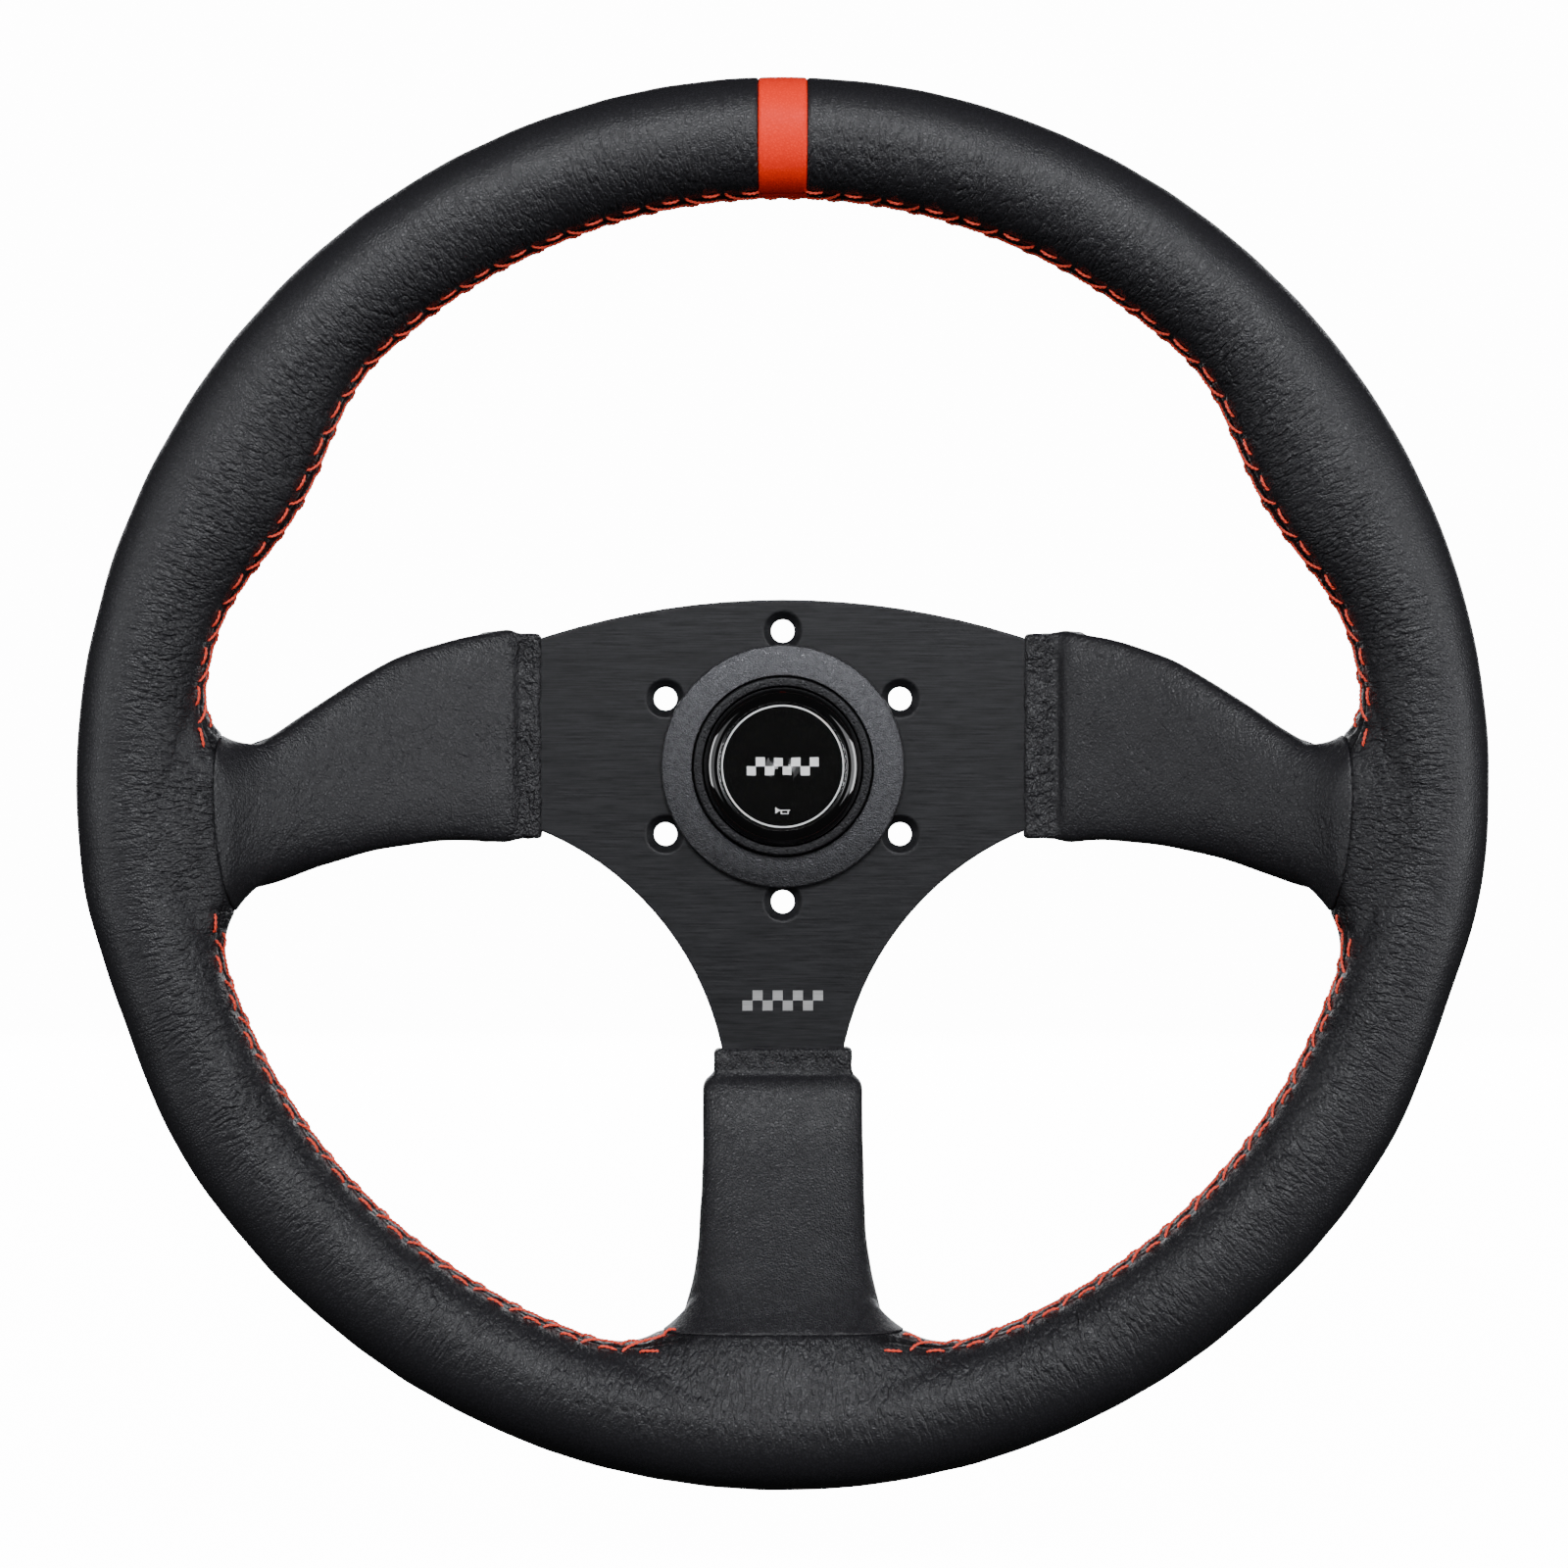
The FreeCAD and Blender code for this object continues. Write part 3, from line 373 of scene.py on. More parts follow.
def places(piece):
    """The piece's points, in millimetres."""
    flat = np.empty(len(piece.data.vertices) * 3, dtype=np.float32)
    piece.data.vertices.foreach_get("co", flat)
    return flat.reshape(-1, 3).astype(float).T / MM


def mark_hide(piece, round_rim):
    """Keeps each point's share in the sewn seam's fold, where the hide gets painted shade, how
    creased it is and how the hide lies.
    """
    x, y, z = places(piece)
    radius, angle = polar(x, z)
    _, across = seam_place(x, y, z)
    keep_value(piece, "seam", np.exp(-((across / 2.0) ** 2)) * sewn(angle))
    if round_rim:
        inward = 1 - ease(radius, 152.0, 169.0)
        keep_value(piece, "creased", 0.12 + 0.88 * inward)
        lay = (x / radius * 150, (radius - y) * 0.3, (z + RIM_DROP) / radius * 150)
    else:
        on_cuff = (1 - ease(np.abs(x), 68.5, 71.5)) * ease(z, -40.0, -30.0)
        on_cuff = np.maximum(on_cuff, 1 - ease(-z, 77.5, 80.5)) if z.max() < -40 else on_cuff
        keep_value(piece, "creased", 0.3 + 0.9 * on_cuff)
        lay = (x, y, z * 0.75)
    layer = piece.data.attributes.new("lay", "FLOAT_VECTOR", "POINT")
    layer.data.foreach_set("vector", (np.stack(lay, axis=1) * MM).astype(np.float32).ravel())


def lathe(name, profile, segments=192):
    """A closed solid turned about the wheel's axis from (radius, depth) points in millimetres."""
    turns = np.linspace(0, 2 * math.pi, segments, endpoint=False)
    radius, depth = np.array(profile).T
    x = np.outer(np.sin(turns), radius)
    z = np.outer(np.cos(turns), radius)
    points = np.stack([x, np.broadcast_to(depth, x.shape), z], axis=-1).reshape(-1, 3)
    count = len(profile)
    i = np.arange(segments)[:, None] * count
    j = (np.arange(segments)[:, None] + 1) % segments * count
    a, b = np.arange(count), (np.arange(count) + 1) % count
    quads = np.stack([i + a, i + b, j + b, j + a], axis=-1).reshape(-1, 4)
    return mesh_object(name, points, quads)


def arc(centre, radius, start, end, steps=8):
    """Profile points on an arc; angles in degrees from outwards towards the driver."""
    turns = np.radians(np.linspace(start, end, steps))
    return [(centre[0] + radius * math.cos(t), centre[1] - radius * math.sin(t)) for t in turns]


# ---- thread ----


def twisted(path, radius, plies=2, lay=2.4, sides=6):
    """Points and faces of twisted strands along a path of points."""
    steps = np.diff(path, axis=0)
    run = np.concatenate([[0.0], np.cumsum(np.linalg.norm(steps, axis=1))])
    count = max(int(run[-1] / 0.28), 8)
    at = np.linspace(0, run[-1], count)
    line = np.stack([np.interp(at, run, path[:, k]) for k in range(3)], axis=1)
    ahead = np.gradient(line, axis=0)
    ahead /= np.linalg.norm(ahead, axis=1)[:, None]
    side = np.cross(ahead, (0.13, 1.0, 0.21))
    side /= np.linalg.norm(side, axis=1)[:, None]
    up = np.cross(side, ahead)
    points, faces = [], []
    for ply in range(plies):
        phase = (at / lay + ply / plies) * 2 * math.pi
        out = side * np.cos(phase)[:, None] + up * np.sin(phase)[:, None]
        centre = line + out * radius * 0.45
        turn = np.linspace(0, 2 * math.pi, sides, endpoint=False)
        taper = np.clip(np.minimum(at, run[-1] - at) / 0.4, 0.35, 1.0)[:, None, None]
        ring = side[:, None] * np.cos(turn)[:, None] + up[:, None] * np.sin(turn)[:, None]
        tube = centre[:, None] + ring * radius * 0.62 * taper
        first = ply * count * sides
        i = first + np.arange(count - 1)[:, None] * sides
        k, n = np.arange(sides), (np.arange(sides) + 1) % sides
        faces.append(np.stack([i + k, i + n, i + sides + n, i + sides + k], axis=-1).reshape(-1, 4))
        for end, flip in ((0, True), (count - 1, False)):
            cap = first + end * sides + np.array([(0, 1, 2, 3), (0, 3, 4, 5)])
            faces.append(cap[:, ::-1] if flip else cap)
        points.append(tube.reshape(-1, 3))
    return np.concatenate(points), np.concatenate(faces)


def threads(name, paths, radius):
    """One object of many twisted threads."""
    points, faces, first = [], [], 0
    for path in paths:
        p, f = twisted(path, radius)
        points.append(p)
        faces.append(f + first)
        first += len(p)
    return mesh_object(name, np.concatenate(points), np.concatenate(faces))


def on_rim(along, across):
    """Points on the padded shape's skin from places along the seam and round the section."""
    angle = along / RIM_INNER
    inner, outer = rim_span(np.degrees(angle))
    turn = np.radians(SEAM_TURN) + across / SECTION
    middle, reach = (inner + outer) / 2, (outer - inner) / 2
    for _ in range(7):
        radius = middle - reach * np.cos(turn)
        x, z = radius * np.sin(angle), radius * np.cos(angle) - RIM_DROP
        y = -RIM_REACH - reach * np.sin(turn)
        reach = np.clip(reach - covered(x, y, z), 10.0, 21.0)
    return np.stack([x, y, z], axis=1)


def sewn_run(first, last, rng):
    """The threads of one run: dashes in front and behind, and long strands that cross between."""
    length = abs(last - first)
    sign = math.copysign(1.0, last - first)
    count = round(length / PITCH)
    pitch = length / count
    t = np.linspace(0, 1, 15)
    level = np.sin(math.pi * t) ** 0.45
    paths = []
    for i in range(count):
        start = i * pitch
        wobble = rng.normal(size=6) * 0.16
        bow = 0.25 * np.sin(math.pi * t)
        sweep = np.interp(t, CROSS_AT, CROSS_ROW)
        front = (start + wobble[0] + (4.5 + wobble[1]) * t, SEAM_ROW + wobble[2] + bow, 0.34)
        cross = (start + 5.7 + wobble[3] + 9.8 * t, sweep + wobble[2], 0.50)
        back = (start + 5.1 + wobble[4] + 4.4 * t, -SEAM_ROW - 0.5 + wobble[5] - bow, 0.34)
        for along, across, lift in (front, cross, back):
            if along[-1] > length + 4:
                continue
            height = -0.75 + (0.75 + lift) * level
            points = on_rim(first + sign * along, across)
            paths.append(settle(covered, points, height, rounds=2))
    return paths


# ---- materials ----


class Surface:
    """A node material built up step by step round one principled shader."""

    def __init__(self, name, **values):
        self.material = bpy.data.materials.new(name)
        self.material.use_nodes = True
        self.tree = self.material.node_tree
        self.shader = self.tree.nodes["Principled BSDF"]
        self.place = self.tree.nodes.new("ShaderNodeTexCoord").outputs["Object"]
        for key, value in values.items():
            self.shader.inputs[key.replace("_", " ")].default_value = value

    def node(self, kind, inputs=(), **settings):
        made = self.tree.nodes.new("ShaderNode" + kind)
        for key, value in settings.items():
            setattr(made, key, value)
        for key, value in dict(inputs).items():
            self.feed(made.inputs[key], value)
        return made

    def feed(self, socket, value):
        if isinstance(value, bpy.types.NodeSocket):
            self.tree.links.new(value, socket)
        else:
            socket.default_value = value

    def scaled(self, scale, place=None):
        """Object places, or others, in millimetres and stretched as told."""
        inputs = {"Vector": place or self.place, "Scale": [s / MM for s in scale]}
        return self.node("Mapping", inputs).outputs[0]

    def noise(self, place, scale, detail=3.0, roughness=0.55):
        inputs = {"Vector": place, "Scale": scale, "Detail": detail, "Roughness": roughness}
        return self.node("TexNoise", inputs).outputs[0]

    def warped(self, place, scale, amount):
        """The place pushed about by noise."""
        push = self.node("TexNoise", {"Vector": place, "Scale": scale, "Detail": 1.0}).outputs[1]
        middle = (0.5, 0.5, 0.5)
        centred = self.node("VectorMath", {0: push, 1: middle}, operation="SUBTRACT").outputs[0]
        sized = self.node("VectorMath", {0: centred, "Scale": amount}, operation="SCALE").outputs[0]
        return self.node("VectorMath", {0: place, 1: sized}, operation="ADD").outputs[0]

    def cells(self, place, scale, low=0.0, high=0.3):
        """1 on rounded cells and 0 in the creases between them."""
        inputs = {"Vector": place, "Scale": scale}
        edge = self.node("TexVoronoi", inputs, feature="DISTANCE_TO_EDGE").outputs["Distance"]
        return self.span(edge, low, high, 0.0, 1.0, smooth=True)

    def span(self, value, low, high, to_low, to_high, smooth=False):
        """The value's range from low to high turned into another range, and held at its ends."""
        inputs = {"Value": value, "From Min": low, "From Max": high}
        inputs.update({"To Min": to_low, "To Max": to_high})
        kind = "SMOOTHSTEP" if smooth else "LINEAR"
        return self.node("MapRange", inputs, interpolation_type=kind).outputs[0]

    def maths(self, operation, a, b=0.0):
        return self.node("Math", {0: a, 1: b}, operation=operation).outputs[0]

    def ridges(self, place, scale, width, detail):
        """Thin creases: 0 along wandering lines and 1 elsewhere."""
        off = self.maths("ABSOLUTE", self.maths("SUBTRACT", self.noise(place, scale, detail), 0.5))
        return self.span(off, 0.0, width, 0.0, 1.0, smooth=True)

    def attribute(self, name, output="Fac"):
        return self.node("Attribute", attribute_name=name).outputs[output]

    def mixed(self, factor, a, b):
        return self.node("Mix", {0: factor, 6: a, 7: b}, data_type="RGBA").outputs[2]

    def colour(self, factor, dark, light):
        self.feed(self.shader.inputs["Base Color"], self.mixed(factor, (*dark, 1.0), (*light, 1.0)))

    def rough(self, factor, low, high):
        self.feed(self.shader.inputs["Roughness"], self.span(factor, 0.0, 1.0, low, high))

    def bump(self, height, depth, below=None):
        """A bump of the given depth in millimetres, on top of another one if told."""
        inputs = {"Height": height, "Distance": depth * MM, "Strength": 1.0}
        if below:
            inputs["Normal"] = below
        made = self.node("Bump", inputs).outputs[0]
        self.feed(self.shader.inputs["Normal"], made)
        return made


def leather(name, dark, light, grain, crease, shine=0.42, seam=False):
    """Smooth hide: fine pebbled grain with painted shade in its creases, short creases across its lie
    and a soft sheen.
    """
    skin = Surface(name, IOR=1.46, Specular_IOR_Level=shine)
    flat = skin.scaled((1, 1, 1))
    lay = skin.scaled((1, 1, 1), place=skin.attribute("lay", "Vector"))
    pebble = skin.cells(skin.warped(flat, 0.7, 0.6), 1.25, 0.0, 0.34)
    patch = skin.span(skin.noise(flat, 0.06, 2.0), 0.34, 0.6, 0.45, 1.0)
    creased = skin.maths("MULTIPLY", patch, skin.attribute("creased"))
    folds = skin.ridges(skin.warped(lay, 0.4, 0.8), 0.72, 0.15, 1.0)
    long_folds = skin.ridges(skin.warped(lay, 0.12, 2.0), 0.30, 0.07, 1.5)
    fine = skin.noise(flat, 3.4, 1.0)
    low = skin.bump(skin.maths("MULTIPLY", long_folds, creased), crease * 1.1)
    mid = skin.bump(skin.maths("MULTIPLY", folds, creased), crease, below=low)
    pebble_share, fine_share = skin.maths("MULTIPLY", pebble, 0.9), skin.maths("MULTIPLY", fine, 0.15)
    height = skin.maths("ADD", pebble_share, fine_share)
    share = skin.span(creased, 0.0, 1.0, 0.7, 1.0)
    skin.bump(skin.maths("MULTIPLY", height, share), grain, below=mid)
    # painted shade: the hide's colour is darker in the creases between the pebbles
    shaded_tone = skin.span(pebble, 0.0, 1.0, 0.35, 1.0)
    # painted shade: with seam, the hide is painted darker in the sewn seam's fold
    if seam:
        shaded_tone = skin.maths("MULTIPLY", shaded_tone, skin.maths("SUBTRACT", 1.0, skin.attribute("seam")))
    skin.colour(shaded_tone, dark, light)
    skin.rough(skin.maths("SUBTRACT", 1.0, pebble), 0.34, 0.46)
    return skin


def brushed(name, dark, light, metallic, rough, along=(0.033, 7.0, 7.0), depth=0.012, edge=0.0):
    """Metal brushed along one direction, its edges broken to a radius in millimetres if told."""
    face = Surface(name, Metallic=metallic)
    place = face.scaled(along)
    lines = face.noise(place, 1.0, 4.0, 0.7)
    broad = face.noise(face.scaled([s * 0.25 for s in along]), 1.0, 2.0)
    line_share, broad_share = face.maths("MULTIPLY", lines, 0.88), face.maths("MULTIPLY", broad, 0.12)
    both = face.maths("ADD", line_share, broad_share)
    share = face.span(both, 0.36, 0.64, 0.0, 1.0)
    face.colour(share, dark, light)
    face.rough(share, *rough)
    broken = face.node("Bevel", {"Radius": edge * MM}, samples=4).outputs[0] if edge else None
    face.bump(both, depth, broken)
    return face


def moulded(name, dark, light, rough, cell=0.35, depth=0.04, metallic=0.0):
    """A finely textured moulded or cast face."""
    face = Surface(name, Metallic=metallic)
    place = face.scaled((1, 1, 1))
    grain = face.noise(place, 1 / cell, 2.0)
    share = face.span(grain, 0.35, 0.65, 0.0, 1.0)
    face.colour(face.span(face.noise(place, 0.6), 0.3, 0.7, 0.0, 1.0), dark, light)
    face.rough(share, *rough)
    face.bump(share, depth)
    return face


def glossy(name, dark, light, rough=(0.05, 0.12)):
    """Polished plastic with faint waves and fine marks."""
    face = Surface(name, Coat_Weight=1.0, Coat_Roughness=0.03)
    place = face.scaled((1, 1, 1))
    marks = face.noise(place, 3.0, 4.0)
    face.colour(face.noise(place, 0.2), dark, light)
    face.rough(face.span(marks, 0.3, 0.7, 0.0, 1.0), *rough)
    face.bump(face.noise(place, 0.15, 1.0), 0.004)
    return face


def thread_fibre(name, dark, light):
    """Waxed thread: fibres along its lie and a dull sheen."""
    face = Surface(name)
    place = face.scaled((1, 1, 1))
    fibres = face.noise(place, 6.0, 4.0, 0.7)
    share = face.span(fibres, 0.3, 0.7, 0.0, 1.0)
    face.colour(share, dark, light)
    face.rough(share, 0.42, 0.6)
    face.bump(fibres, 0.05)
    return face


# ---- padded pieces ----

RIM_LOW, RIM_HIGH = (-178.0, -62.0, -182.0), (178.0, -26.0, 174.0)
FOAM_HIGH = (178.0, 6.0, 174.0)
BAND_LOW, BAND_HIGH = (-8.0, -62.0, 138.0), (8.0, -26.0, 174.0)
RIGHT_LOW, RIGHT_HIGH = (60.0, -62.0, -44.0), (146.0, 7.0, 46.0)
LEFT_LOW, LEFT_HIGH = (-146.0, -62.0, -44.0), (-60.0, 7.0, 46.0)
LOWER_LOW, LOWER_HIGH = (-42.0, -62.0, -148.0), (42.0, 7.0, -70.0)

rim = field_mesh("rim_leather_skin", rim_panel, RIM_LOW, RIM_HIGH, 0.8)
band = field_mesh("centre_band_skin", band_panel, BAND_LOW, BAND_HIGH, 0.45)
right_spoke = field_mesh("right_spoke_skin", spoke_panel, RIGHT_LOW, RIGHT_HIGH, 0.6)
left_spoke = field_mesh("left_spoke_skin", spoke_panel, LEFT_LOW, LEFT_HIGH, 0.6)
lower_spoke = field_mesh("lower_spoke_skin", spoke_panel, LOWER_LOW, LOWER_HIGH, 0.6)
foam = field_mesh("grip_foam_core", padding, RIM_LOW, FOAM_HIGH, 2.4)

for piece, node, round_rim in (
    (rim, "rim_leather", True),
    (band, "centre_band", True),
    (right_spoke, "right_spoke_leather", False),
    (left_spoke, "left_spoke_leather", False),
    (lower_spoke, "lower_spoke_leather", False),
    (foam, "grip_foam", True),
):
    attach(piece, "wheel")
    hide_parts(node)
    mark_hide(piece, round_rim)

BLACK_DARK, BLACK_LIGHT = (0.0062, 0.006, 0.0070), (0.0175, 0.0172, 0.0200)
rim_hide = leather("rim_hide", BLACK_DARK, BLACK_LIGHT, 0.09, 0.19, seam=True)
rim.data.materials.append(rim_hide.material)
side_hide = leather("side_hide", BLACK_DARK, BLACK_LIGHT, 0.09, 0.18)
left_spoke.data.materials.append(side_hide.material)
right_spoke.data.materials.append(side_hide.material)
lower_hide = leather("lower_hide", BLACK_DARK, BLACK_LIGHT, 0.13, 0.12)
lower_spoke.data.materials.append(lower_hide.material)
band_hide = leather(
    "band_hide", (0.82, 0.018, 0.005), (1.0, 0.030, 0.008), 0.05, 0.015, shine=0.12, seam=True
)
band.data.materials.append(band_hide.material)
foam_cells = moulded("foam_cells", (0.05, 0.05, 0.05), (0.10, 0.10, 0.10), (0.7, 0.95), 0.8, 0.3)
foam.data.materials.append(foam_cells.material)

# ---- sewing ----

rng = np.random.default_rng(7)


def at_angle(angle):
    return math.radians(angle) * RIM_INNER


RED = thread_fibre("red_thread", (0.80, 0.035, 0.018), (1.0, 0.10, 0.045))
BLACK = thread_fibre("black_thread", (0.006, 0.006, 0.007), (0.025, 0.025, 0.027))
upper = sewn_run(at_angle(-UPPER_END), 0.0, rng) + sewn_run(at_angle(UPPER_END), 0.0, rng)
lower_left = sewn_run(at_angle(-LOWER_START), at_angle(-LOWER_END), rng)
lower_right = sewn_run(at_angle(LOWER_END), at_angle(LOWER_START), rng)
for name, node, paths in (
    ("upper_seam_thread", "upper_stitching", upper),
    ("lower_left_seam_thread", "lower_left_stitching", lower_left),
    ("lower_right_seam_thread", "lower_right_stitching", lower_right),
):
    piece = threads(name, paths, 0.37)
    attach(piece, "wheel")
    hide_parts(node)
    piece.data.materials.append(RED.material)


def rear_run(start, end, count):
    """Stitches on a pad's rear face between two points."""
    start, end = np.array(start), np.array(end)
    t = np.linspace(0, 1, 13)
    paths = []
    for i in range(count):
        share = (i + 0.12 + 0.76 * t) / count
        points = start + (end - start) * share[:, None]
        points = settle(with_cuffs, points, 0.0, rounds=14)
        height = -0.5 + 0.8 * np.sin(math.pi * t) ** 0.5
        paths.append(settle(with_cuffs, points, height, rounds=2))
    return paths


for name, node, start, end in (
    ("right_spoke_seam_thread", "right_spoke_stitching", (74, 6, 7.8), (134, -16, -12.0)),
    ("left_spoke_seam_thread", "left_spoke_stitching", (-74, 6, 7.8), (-134, -16, -12.0)),
    ("lower_spoke_seam_thread", "lower_spoke_stitching", (0, 6, -83), (0, -18, -138)),
):
    piece = threads(name, rear_run(start, end, 9), 0.31)
    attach(piece, "wheel")
    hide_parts(node)
    piece.data.materials.append(BLACK.material)


# ---- horn button and trim ring: (radius, depth) round each profile ----


def finished(piece, surface, body, node=None):
    """Gives a piece its material and body, and the node it stands for if told."""
    piece.data.materials.append(surface.material)
    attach(piece, body)
    if node:
        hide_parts(node)


trim_profile = [
    (23.3, -1.0),
    *arc((23.65, -6.95), 0.35, 180, 85),
    *arc((30.65, -5.25), 0.7, 76, 0),
    (31.35, -4.0),
    (24.9, -4.0),
    (24.9, 0.0),
    (20.0, 0.0),
    (20.0, -1.0),
]
housing_profile = [
    (20.6, -8.3),
    *arc((20.95, -9.45), 0.35, 180, 90),
    *arc((22.4, -9.3), 0.5, 90, 0),
    (22.9, -1.0),
    (21.3, -1.0),
    (21.3, -8.3),
]
cap_profile = [
    (0.01, -12.0),
    (16.45, -12.0),
    (16.45, -12.95),
    *arc((17.0, -9.85), 3.3, 98, 8, 18),
    (20.3, -8.45),
    (21.0, -8.3),
    (21.0, -7.3),
    (18.5, -7.3),
    (18.5, -10.2),
    (0.01, -10.2),
]
lens_profile = [
    (0.01, -12.27),
    (16.4, -12.27),
    (16.4, -12.95),
    (16.25, -13.1),
    (15.95, -13.17),
    (12.0, -13.22),
    (6.0, -13.25),
    (0.01, -13.26),
]
ring_finish = moulded(
    "trim_ring_texture", (0.046, 0.046, 0.050), (0.070, 0.070, 0.075), (0.27, 0.38), 0.4, 0.08, 0.75
)
finished(lathe("trim_ring_turned", trim_profile), ring_finish, "wheel", "trim_ring")
bezel_finish = moulded(
    "bezel_texture", (0.010, 0.010, 0.011), (0.018, 0.018, 0.020), (0.26, 0.38), 0.4, 0.06, 0.6
)
finished(lathe("horn_bezel_turned", housing_profile), bezel_finish, "wheel", "button_housing")
cap_finish = glossy("cap_gloss", (0.003, 0.003, 0.003), (0.005, 0.005, 0.0055))
finished(lathe("horn_cap_turned", cap_profile), cap_finish, "horn_button", "button_cap")
lens = Surface("clear_dome", Transmission_Weight=1.0, IOR=1.49)
lens.colour(lens.noise(lens.scaled((1, 1, 1)), 0.3), (0.97, 0.97, 0.97), (1.0, 1.0, 1.0))
lens.rough(lens.noise(lens.scaled((1, 1, 1)), 2.0), 0.01, 0.03)
lens.bump(lens.noise(lens.scaled((1, 1, 1)), 0.1, 1.0), 0.002)
dome = lathe("emblem_dome_cast", lens_profile)
dome.visible_shadow = False  # so that the lights reach the print under it
finished(dome, lens, "horn_button", "emblem_lens")

PRINT = moulded("white_print", (0.78, 0.78, 0.78), (0.86, 0.86, 0.86), (0.4, 0.5), 0.2, 0.01)
print_ring = lathe("print_ring", [(15.3, -12.28), (15.3, -12.36), (15.72, -12.36), (15.72, -12.28)])
finished(print_ring, PRINT, "horn_button")


def marks(name, boxes, front, surface, body):
    """Thin raised marks on a face looking at -Y: boxes of (left, right, bottom, top)."""
    corners = ((0, 1, 3, 2), (4, 6, 7, 5), (0, 4, 5, 1), (2, 3, 7, 6), (1, 5, 7, 3), (0, 2, 6, 4))
    depths = (front, front + 0.06)
    points, quads = [], []
    for left, right, bottom, top in boxes:
        first = len(points)
        points += [(x, y, z) for x in (left, right) for y in depths for z in (bottom, top)]
        quads += [[first + c for c in face] for face in corners]
    piece = mesh_object(name, np.array(points), np.array(quads))
    piece.data.shade_flat()
    finished(piece, surface, body)


def chequers(left, bottom, size, columns):
    """The filled squares of a two-row chequered strip."""
    squares = [(i, row) for i in range(columns) for row in range(2) if (i + row) % 2 == 0]
    return [
        (left + i * size, left + (i + 1) * size, bottom + row * size, bottom + (row + 1) * size)
        for i, row in squares
    ]


marks("print_chequers", chequers(-9.2, -2.3, 2.3, 8), -12.34, PRINT, "horn_button")
horn_sign = [
    (-1.9, -1.6, -12.0, -10.5),
    (-1.6, -1.3, -11.75, -10.75),
    (-1.3, -0.9, -11.5, -11.0),
    (-0.9, 1.9, -11.35, -11.1),
    (-0.5, -0.25, -12.0, -11.35),
    (-0.5, 1.5, -12.2, -12.0),
    (1.25, 1.5, -12.0, -11.35),
]
marks("print_horn_sign", horn_sign, -12.34, PRINT, "horn_button")
etched = brushed("etched_mark", (0.30, 0.30, 0.30), (0.55, 0.55, 0.55), 0.6, (0.35, 0.5))
marks("arm_chequers", chequers(-10.4, -63.0, 2.6, 8), -4.03, etched, "wheel")

# ---- the hard pieces carried over from the CAD model ----

steel = brushed(
    "zinc_plated_steel", (0.45, 0.46, 0.48), (0.62, 0.62, 0.62), 1.0, (0.25, 0.4), (1.0, 1.0, 1.0)
)
brass = brushed(
    "rolled_brass", (0.62, 0.42, 0.14), (0.85, 0.62, 0.28), 1.0, (0.2, 0.34), (0.3, 2.0, 2.0)
)
plate = brushed(
    "anodised_plate",
    (0.0050, 0.0050, 0.0060),
    (0.0165, 0.0165, 0.0190),
    0.3,
    (0.36, 0.5),
    (0.10, 3.2, 3.2),
    depth=0.03,
    edge=0.9,
)
aluminium = brushed(
    "core_aluminium", (0.5, 0.5, 0.52), (0.7, 0.7, 0.72), 1.0, (0.3, 0.45), (0.4, 2, 2)
)
black_steel = brushed(
    "black_nut", (0.02, 0.02, 0.022), (0.045, 0.045, 0.05), 0.8, (0.35, 0.5), (1, 1, 1)
)
rubber = moulded(
    "nitrile_rubber", (0.008, 0.008, 0.008), (0.016, 0.016, 0.016), (0.5, 0.7), 0.4, 0.02
)
phenolic = moulded(
    "phenolic_base", (0.012, 0.010, 0.009), (0.022, 0.019, 0.017), (0.4, 0.6), 0.6, 0.02
)
NODE_FINISH = {
    "spoke_frame": plate,
    "rim_core_ring": aluminium,
    "spoke_rivets": steel,
    "trim_ring_nut": black_steel,
    "housing_o_ring": rubber,
    "button_base": phenolic,
    "contact_ring": brass,
    "ground_ring": brass,
    "ground_terminal": brass,
    "live_terminal": brass,
    "contact_plate": brass,
    "contact_screw": steel,
    "button_springs": steel,
    "emblem_disc": glossy("emblem_black", (0.0025, 0.0025, 0.0025), (0.004, 0.004, 0.004)),
}
for node, surface in NODE_FINISH.items():
    piece = frame["nodes"][node]
    piece.data.materials.clear()
    piece.data.materials.append(surface.material)

# a copy of the coil springs stands for the CAD springs, its transform baked in
coiled = frame["nodes"]["button_springs"]
springs = bpy.data.objects.new("coil_springs", coiled.data.copy())
springs.matrix_world = coiled.matrix_world
bpy.context.scene.collection.objects.link(springs)
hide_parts("button_springs")
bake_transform(springs)

# ---- room, light and camera ----


def room():
    """A pale floor that curves up into a wall on both sides."""
    quarter = np.linspace(0, math.pi / 2, 16)
    profile = [(-4.0, 4.0)]
    profile += [(-3.2 - 0.8 * math.cos(t), 0.6 - 0.8 * math.sin(t)) for t in quarter]
    profile += [(2.2 + 0.8 * math.sin(t), 0.6 - 0.8 * math.cos(t)) for t in quarter]
    profile += [(3.0, 4.0)]
    points = [(x, y, z) for y, z in profile for x in (-6.0, 6.0)]
    quads = [(2 * i, 2 * i + 1, 2 * i + 3, 2 * i + 2) for i in range(len(profile) - 1)]
    made = mesh_object("studio_sweep", np.array(points) / MM, np.array(quads))
    paper = Surface("pale_paper", Emission_Color=(1, 1, 1, 1), Emission_Strength=14.0)
    cloudy = paper.noise(paper.scaled((0.002, 0.002, 0.002)), 1.0)
    paper.colour(cloudy, (0.78, 0.78, 0.78), (0.82, 0.82, 0.82))
    paper.rough(paper.noise(paper.scaled((0.01, 0.01, 0.01)), 1.0), 0.7, 0.9)
    made.data.materials.append(paper.material)
    made.visible_glossy = False
    made.visible_diffuse = False
    made.visible_transmission = False


HUB = Vector((0.0, 0.0, 0.0))


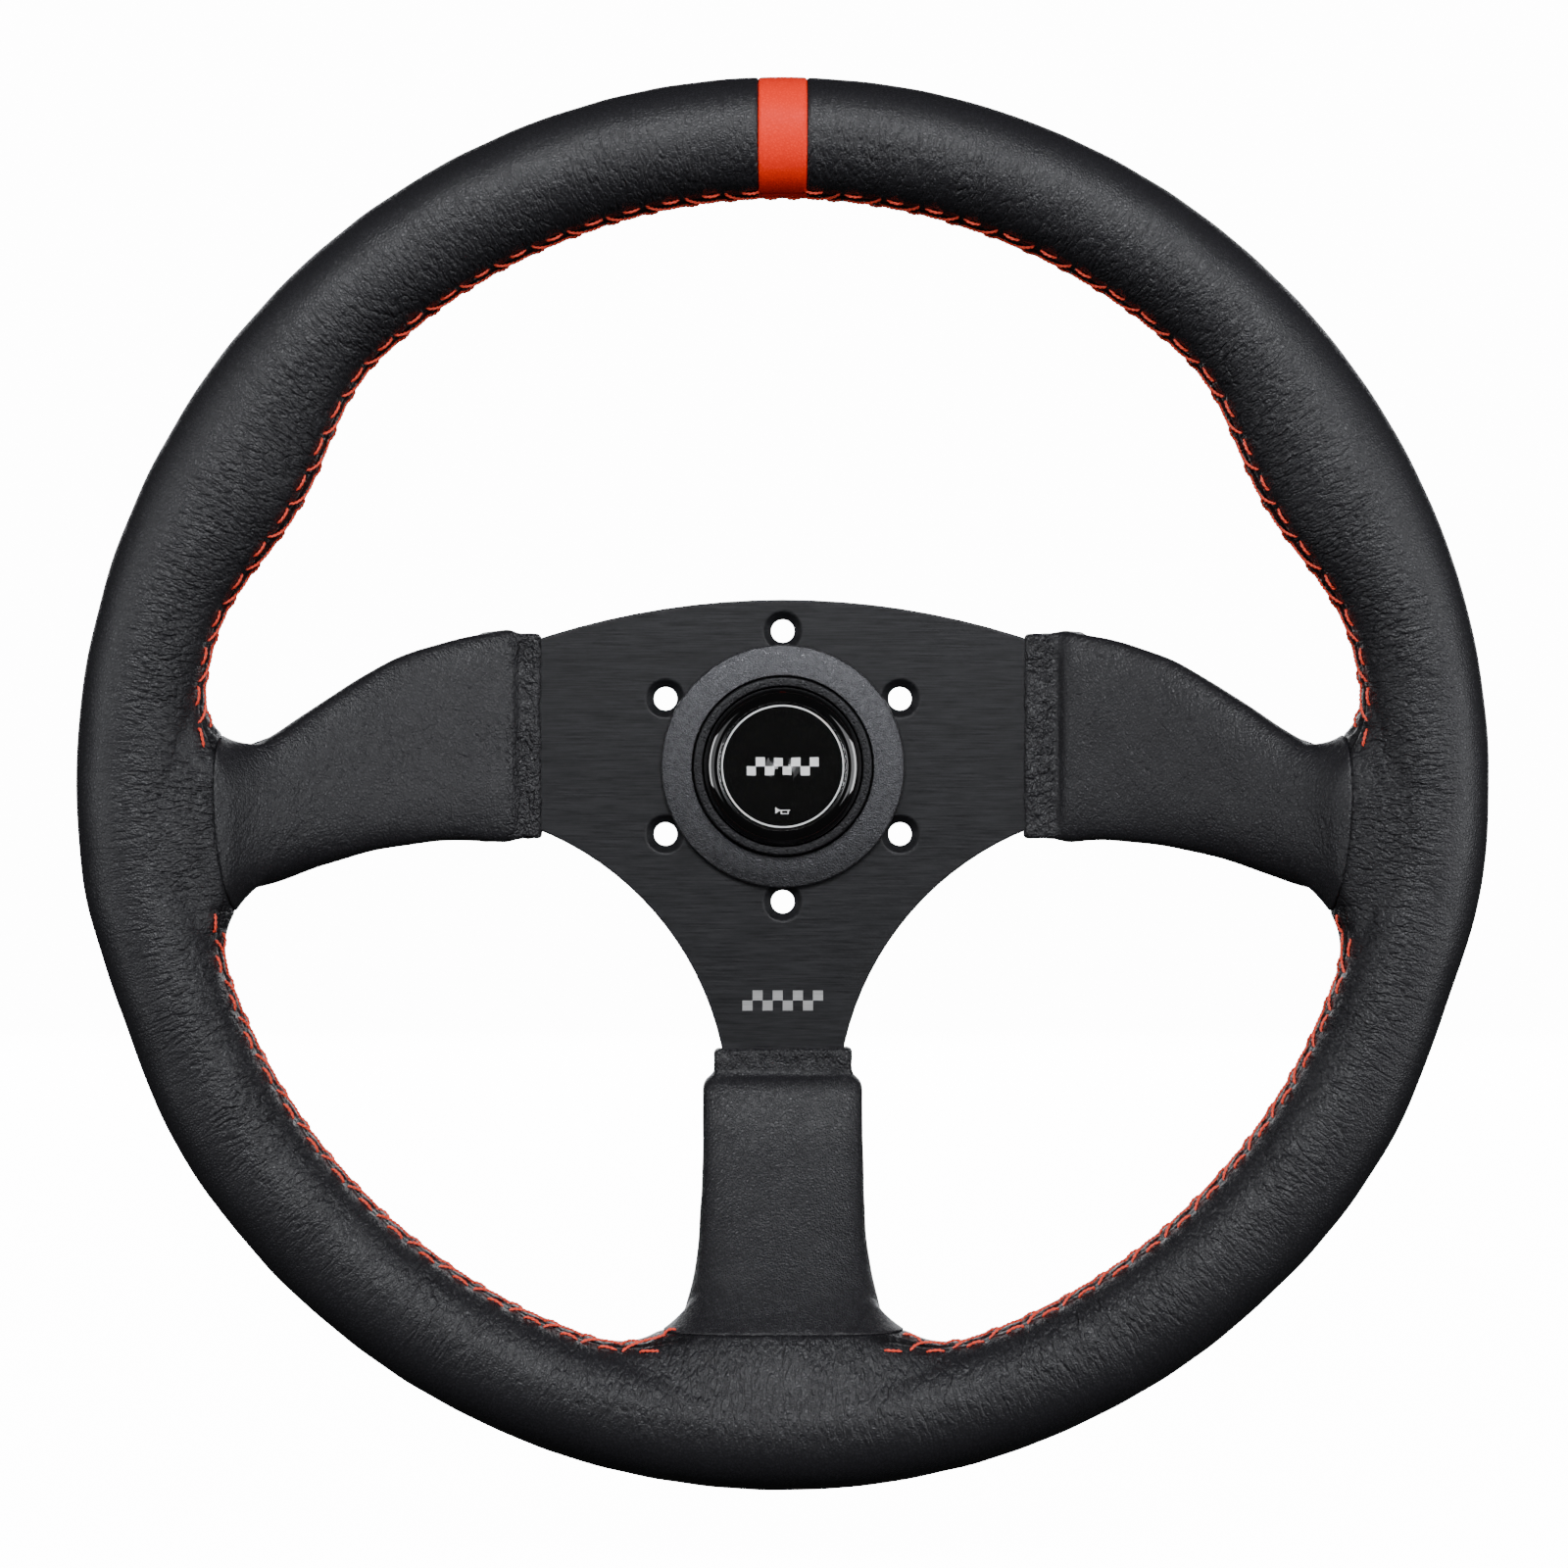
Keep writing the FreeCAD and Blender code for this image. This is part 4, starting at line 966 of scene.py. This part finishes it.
def lamp(name, place, size, power, not_on=(), only_on=()):
    """A soft rectangular light aimed at the hub, kept off or kept to some pieces if told."""
    light = bpy.data.lights.new(name, "AREA")
    light.shape = "RECTANGLE"
    light.size, light.size_y = size
    light.energy = power
    light.color = (0.96, 0.975, 1.0)
    made = bpy.data.objects.new(name, light)
    made.location = place
    made.rotation_euler = (HUB - Vector(place)).to_track_quat("-Z", "Y").to_euler()
    made.visible_camera = False
    bpy.context.scene.collection.objects.link(made)
    if not_on or only_on:
        named = bpy.data.collections.new(name + "_pieces")
        made.light_linking.receiver_collection = named
        for piece in not_on or only_on:
            named.objects.link(piece)
        for entry in named.collection_objects:
            entry.light_linking.link_state = "EXCLUDE" if not_on else "INCLUDE"


room()
mirror_like = [bpy.data.objects[n] for n in ("horn_cap_turned", "emblem_dome_cast")]
lamp("key_above", (0.0, -1.35, 0.82), (1.5, 0.45), 31, not_on=mirror_like)
lamp("left_front", (-1.0, -1.4, 0.15), (0.95, 1.1), 3.5)
lamp("right_front", (1.0, -1.4, 0.1), (0.95, 1.1), 7)
lamp("left_panel", (-1.1, -0.5, 0.05), (0.35, 0.9), 5.5, not_on=mirror_like)
lamp("right_panel", (1.1, -0.5, 0.0), (0.45, 0.9), 8, not_on=mirror_like)
lamp("left_gleam", (-1.2, -0.7, 0.1), (0.4, 0.9), 9, only_on=mirror_like)
lamp("right_gleam", (1.2, -0.7, 0.0), (0.5, 0.9), 13, only_on=mirror_like)
lamp("rear_fill", (0.0, 1.9, 0.45), (2.2, 1.0), 30)

world = bpy.data.worlds.new("studio_air")
world.use_nodes = True
world.node_tree.nodes["Background"].inputs[0].default_value = (0.02, 0.02, 0.02, 1)
bpy.context.scene.world = world

camera = bpy.data.cameras.new("photo_camera")
camera.lens = 93.9
camera.sensor_width = 36.0
camera.shift_x = 0.0008
camera.shift_y = -0.01125
view = bpy.data.objects.new("photo_camera", camera)
view.location = (0.0, -1.059, 0.0)
view.rotation_euler = (math.radians(90), 0, 0)
bpy.context.scene.collection.objects.link(view)
bpy.context.scene.camera = view
